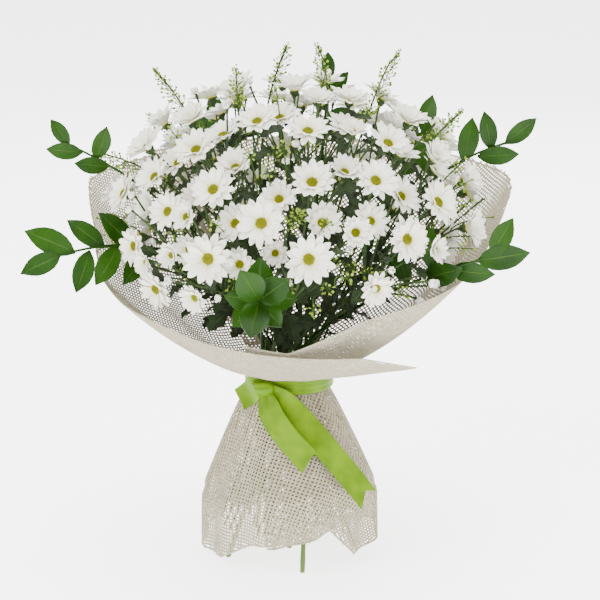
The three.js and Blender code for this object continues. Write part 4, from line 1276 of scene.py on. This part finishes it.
# points of a sheet with its outward normals
def netSurface(sheet, azimuth, level):
    wide = netPoints(sheet, azimuth + 0.4, level) - netPoints(sheet, azimuth - 0.4, level)
    high = netPoints(sheet, azimuth, level + 0.01) - netPoints(sheet, azimuth, level - 0.01)
    normals = np.cross(wide, high)
    sizes = np.maximum(np.linalg.norm(normals, axis=1), 1e-9)
    return netPoints(sheet, azimuth, level), normals / sizes[:, None]


# One thread of a flat pattern, as runs of points and normals that lie on the sheet.
def threadRuns(pattern, x, y):
    azimuth, level, isOn = onSheet(pattern, x, y)
    points, normals = netSurface(pattern.sheet, azimuth, level)
    runs, start = [], None
    for i, on in enumerate([*isOn, False]):
        if on and start is None:
            start = i
        elif not on and start is not None:
            if i - start > 2:
                runs.append((points[start:i], normals[start:i]))
            start = None
    return runs


def addThread(bm, points, normals, offset):
    ahead = np.gradient(points, axis=0)
    side = np.cross(normals, ahead)
    side *= 0.5 * net["thread"] / np.linalg.norm(side, axis=1)[:, None]
    centre = points + normals * (offset + 0.5 * net["thickness"])
    steps = len(points) - 1

    def form(across, along):
        k = round(along * steps)
        return Vector(centre[k] + across * side[k])

    addBlade(bm, 1, steps, form)


def buildNet(sheet, materials):
    bm = newMesh()
    ends = (sheet["from"], sheet["to"])
    for level in (-1.99, 1.99):
        for offset in (net["apart"], -net["apart"]):
            azimuths = np.linspace(*ends, 150)
            addThread(bm, *netSurface(sheet, azimuths, np.full(150, level)), offset)
    for azimuth in ends:
        levels = np.linspace(-1.98, 1.98, 110)
        addThread(bm, *netSurface(sheet, np.full(110, azimuth), levels), net["apart"])
    for sign in (1, -1):
        pattern = netPattern(sheet, sign)
        reach = float(pattern.start.max() + pattern.lengths[:, -1].max())
        lines = np.arange(-reach, reach, net["pitch"])
        steps = np.arange(-reach, reach, net["segment"])
        for line in lines:
            shift = net["segment"] * chance(line)
            for x, y, offset in ((np.full(len(steps), line), steps + shift, net["apart"]),
                                 (steps + shift, np.full(len(steps), line), -net["apart"])):
                for points, normals in threadRuns(pattern, x, y):
                    addThread(bm, points, normals, offset)
    thicken(bm, net["thickness"])
    piece = finishPiece(sheet["name"] + "_net", bm, materials["net"], [sheet["name"]], sharp=40)
    print(sheet["name"], "triangles:", 2 * len(piece.data.polygons))
    return piece


# ---- ribbon and twine ----

ribbon = {
    "width": 25,
    "thickness": 0.35,
    "reach": 43.6,
    "bandWidth": 15,
    "z": 186.5,
    "knot": {"azimuth": -32, "size": (12.5, 8.6, 8.2)},
    # azimuth and height of the points of each tail, how far its end is cut on the slant and its waves
    "tails": [
        {"path": [(-32, 190), (-44, 184), (-56, 176), (-66, 168)], "slant": -3, "wave": 1.0},
        {"path": [(-32, 186), (-15, 179), (2, 168), (21, 145), (35, 115), (43, 88)], "slant": -9,
         "wave": 1.6},
        {"path": [(-32, 184), (-18, 164), (-2, 144), (13, 124)], "slant": -4, "wave": 1.2},
    ],
}
twine = {"reach": 31, "radius": 1.35, "pitch": 3.0, "turns": 3, "steps": 36}


def ribbonMaterial():
    def make(wire):
        across = bladeMap(wire)[0]
        warp = (across * 420.0).sine()
        selvage = (across - 0.5).absolute().ramp(0.455, 0.475)
        weaveAndHighlight = cloud(wire, 0.0006, 2)
        folds = cloud(wire, 0.018, 2)
        # painted light and shade: darker and lighter green patches by a noise stand in for the light on the
        # satin's folds; they do not follow the band's folds
        colour = folds.ramp(0.35, 0.68).mix((0.075, 0.16, 0.0), (0.135, 0.25, 0.0))
        # painted highlight: lighter green specks by the weave noise stand in for the satin's sheen; the same
        # noise gives the roughness and bump
        colour = (weaveAndHighlight.ramp(0.4, 0.7) * 0.25).mix(colour, (0.17, 0.30, 0.0))
        colour = (selvage * 0.4).mix(colour, (0.06, 0.16, 0.0))
        height = (warp * 0.2 + weaveAndHighlight * 0.5 + selvage * 0.8) * 0.0001
        return {"Base Color": colour, "Roughness": 0.3 + 0.15 * weaveAndHighlight, "Height": height}

    fixed = {"Specular IOR Level": 0.1, "Anisotropic": 0.4}
    return newMaterial("ribbon_satin", fixed, make)


def twineMaterial():
    def make(wire):
        fibres = cloud(wire, 0.0009, 4, place(wire, (1, 1, 3)))
        colour = fibres.ramp(0.3, 0.7).mix((0.20, 0.15, 0.08), (0.48, 0.40, 0.26))
        return {"Base Color": colour, "Roughness": 0.8 + 0.2 * fibres, "Height": fibres * 0.0008}

    return newMaterial("jute_twine", {"Specular IOR Level": 0.15}, make)


# the distance of the outer sheet's skirt from the axis at a height
def skirtReach(azimuth, z):
    low = tieHeight - wrap["band"]
    bottom = float(fromRows(outerSheet["hem"], azimuth, 2))
    point = netPoints(outerSheet, azimuth, -1 - clamp((low - z) / (low - bottom)))
    return math.hypot(point[0], point[1])


# a smooth curve through points, at a share of its length
def throughPoints(points, share):
    place = share * (len(points) - 1)
    k = min(int(place), len(points) - 2)
    t = place - k
    a, b, c, d = (points[clamp(k + j, 0, len(points) - 1)] for j in (-1, 0, 1, 2))
    bend, twist = 2 * a - 5 * b + 4 * c - d, 3 * b - a - 3 * c + d
    return 0.5 * (2 * b + (c - a) * t + bend * t * t + twist * t ** 3)


def addTail(bm, tail, level):
    points = [around(azimuth, max(ribbon["reach"] + 2, skirtReach(azimuth, z) + 6.6 + i), z)
              for i, (azimuth, z) in enumerate(tail["path"])]
    half = ribbon["width"] / 2

    def form(across, along):
        centre = throughPoints(points, along)
        before, after = (throughPoints(points, clamp(along + step)) for step in (-0.01, 0.01))
        ahead = (after - before).normalized()
        out = Vector((centre.x, centre.y, 0)).normalized()
        side = out.cross(ahead).normalized()
        wide = half * min(1, 0.4 + 2.4 * along)
        lift = tail["wave"] * math.sin(7 * along + level) * (0.4 + 0.6 * across) * min(1, 3 * along)
        lift += (1 - min(1, 3.5 * along)) * 1.2 * math.cos(7 * across + level)
        point = centre + side * across * wide + out * (lift + 0.35 * level)
        if along > 0.999:
            point += ahead * tail["slant"] * across
        return point

    addBlade(bm, 8, 26, form)


def buildRibbon(materials):
    bm = newMesh()
    knot = ribbon["knot"]

    def band(across, along):
        azimuth = knot["azimuth"] + 360 * along
        folds = 0.45 * math.sin(9 * across + 3 * math.sin(math.radians(azimuth)))
        pinch = 1 - 0.25 * math.exp(-((min(along, 1 - along) / 0.05) ** 2))
        z = ribbon["z"] + across * ribbon["bandWidth"] / 2 * pinch
        return around(azimuth, ribbon["reach"] + 0.5 + folds, z)

    addBlade(bm, 10, 72, band)
    for level, tail in enumerate(ribbon["tails"]):
        addTail(bm, tail, level)
    thicken(bm, ribbon["thickness"])
    ball = bmesh.ops.create_uvsphere(bm, u_segments=28, v_segments=18, radius=1)["verts"]
    for point in ball:
        turn = math.atan2(point.co.z, point.co.y)
        waist = 0.16 * math.exp(-((point.co.x / 0.2) ** 2))
        ridge = 1 + 0.07 * math.sin(6 * turn + 2.5 * point.co.x) - waist
        point.co = Vector((point.co.x * knot["size"][0], point.co.y * ridge * knot["size"][1],
                           point.co.z * ridge * knot["size"][2]))
    centre = around(knot["azimuth"], ribbon["reach"] + 5, ribbon["z"])
    moveAndTurn(bm, ball, Matrix.Rotation(math.radians(knot["azimuth"]), 3, "Z"), centre)
    return finishPiece("ribbon_satin", bm, materials["ribbon"], ["ribbon"], sharp=70)


def buildTwine(materials):
    bm = newMesh()
    points = []
    for k in range(twine["steps"] * twine["turns"] + 1):
        z = tieHeight + (k / twine["steps"] - twine["turns"] / 2) * twine["pitch"]
        points.append(around(360 / twine["steps"] * k, twine["reach"], z))
    addTubes(bm, [(points, [twine["radius"]] * len(points))], 8)
    return finishPiece("binding_twine_turns", bm, materials["twine"], ["binding_twine"])


# ---- stage, light and camera ----

lights = [
    # name, place, size, power and colour
    ("key", (-1.5, -1.9, 2.3), 1.8, 95, (1.0, 0.99, 0.97)),
    ("fill", (1.9, -1.7, 1.2), 2.0, 34, (0.98, 0.99, 1.0)),
    ("top", (0.1, 0.2, 2.6), 1.8, 92, (1.0, 1.0, 1.0)),
    ("back", (0.4, 2.2, 1.4), 1.6, 30, (1.0, 1.0, 1.0)),
]
view = {"target": (0.015, 0.008, 0.265), "distance": 2.0, "elevation": 15, "lens": 120}


def setStage():
    bm = bmesh.new()
    bmesh.ops.create_circle(bm, cap_ends=True, segments=96, radius=12)
    mesh = bpy.data.meshes.new("studio_floor")
    bm.to_mesh(mesh)
    bm.free()
    floor = bpy.data.objects.new("studio_floor", mesh)
    bpy.context.scene.collection.objects.link(floor)

    def make(wire):
        return {"Base Color": cloud(wire, 0.8, 1).mix((0.96, 0.96, 0.96), (0.97, 0.97, 0.97))}

    # the floor glows a little, so that it reads as white without stronger lamps
    fixed = {"Roughness": 0.9, "Specular IOR Level": 0.1, "Emission Color": (1, 1, 1, 1),
             "Emission Strength": 3.4}
    mesh.materials.append(newMaterial("pale_floor", fixed, make))
    world = bpy.data.worlds.new("studio")
    world.use_nodes = True
    sky = world.node_tree.nodes["Background"].inputs
    sky["Color"].default_value = (1, 1, 1, 1)
    sky["Strength"].default_value = 1.0
    bpy.context.scene.world = world
    for name, spot, size, power, colour in lights:
        lamp = bpy.data.lights.new(name, "AREA")
        lamp.shape, lamp.size, lamp.energy, lamp.color = "DISK", size, power, colour
        holder = bpy.data.objects.new(name, lamp)
        holder.location = spot
        holder.rotation_euler = (Vector((0, 0, 0.25)) - Vector(spot)).to_track_quat("-Z", "Y").to_euler()
        bpy.context.scene.collection.objects.link(holder)


def setCamera():
    camera = bpy.data.objects.new("camera", bpy.data.cameras.new("camera"))
    camera.data.lens, camera.data.sensor_width = view["lens"], 36
    up = math.radians(view["elevation"])
    target = Vector(view["target"])
    back = Vector((0, -math.cos(up), math.sin(up)))
    camera.location = target + back * view["distance"]
    camera.rotation_euler = (-back).to_track_quat("-Z", "Y").to_euler()
    bpy.context.scene.collection.objects.link(camera)
    bpy.context.scene.camera = camera


# ---- the whole bunch ----

setCamera()
setStage()
leafColours = {"dark": (0.006, 0.013, 0.003), "light": (0.019, 0.036, 0.009),
               "under": (0.040, 0.060, 0.024), "vein": (0.045, 0.075, 0.022), "gloss": 0.5, "veins": 44.0}
materials = {
    "petal": petalMaterial(),
    "disc": discMaterial(),
    "stalk": stalkMaterial(),
    "leaf": leafMaterial("chrysanthemum_leaf", **leafColours),
    "ruscus": ruscusMaterial(),
    "pod": podMaterial(),
    "net": netMaterial(),
    "ribbon": ribbonMaterial(),
    "twine": twineMaterial(),
}
for spray in sprays:
    buildBlooms(spray, materials)
    buildStem(spray, materials)
print("sprays made")
for branch in branches:
    buildRuscus(branch, materials)
for raceme in racemes:
    buildPennycress(raceme, materials)
print("ruscus and pennycress made")
sheetPieces = [buildNet(sheet, materials) for sheet in (innerSheet, outerSheet)]
ribbonPiece = buildRibbon(materials)
twinePiece = buildTwine(materials)
print("wrap, ribbon and twine made")
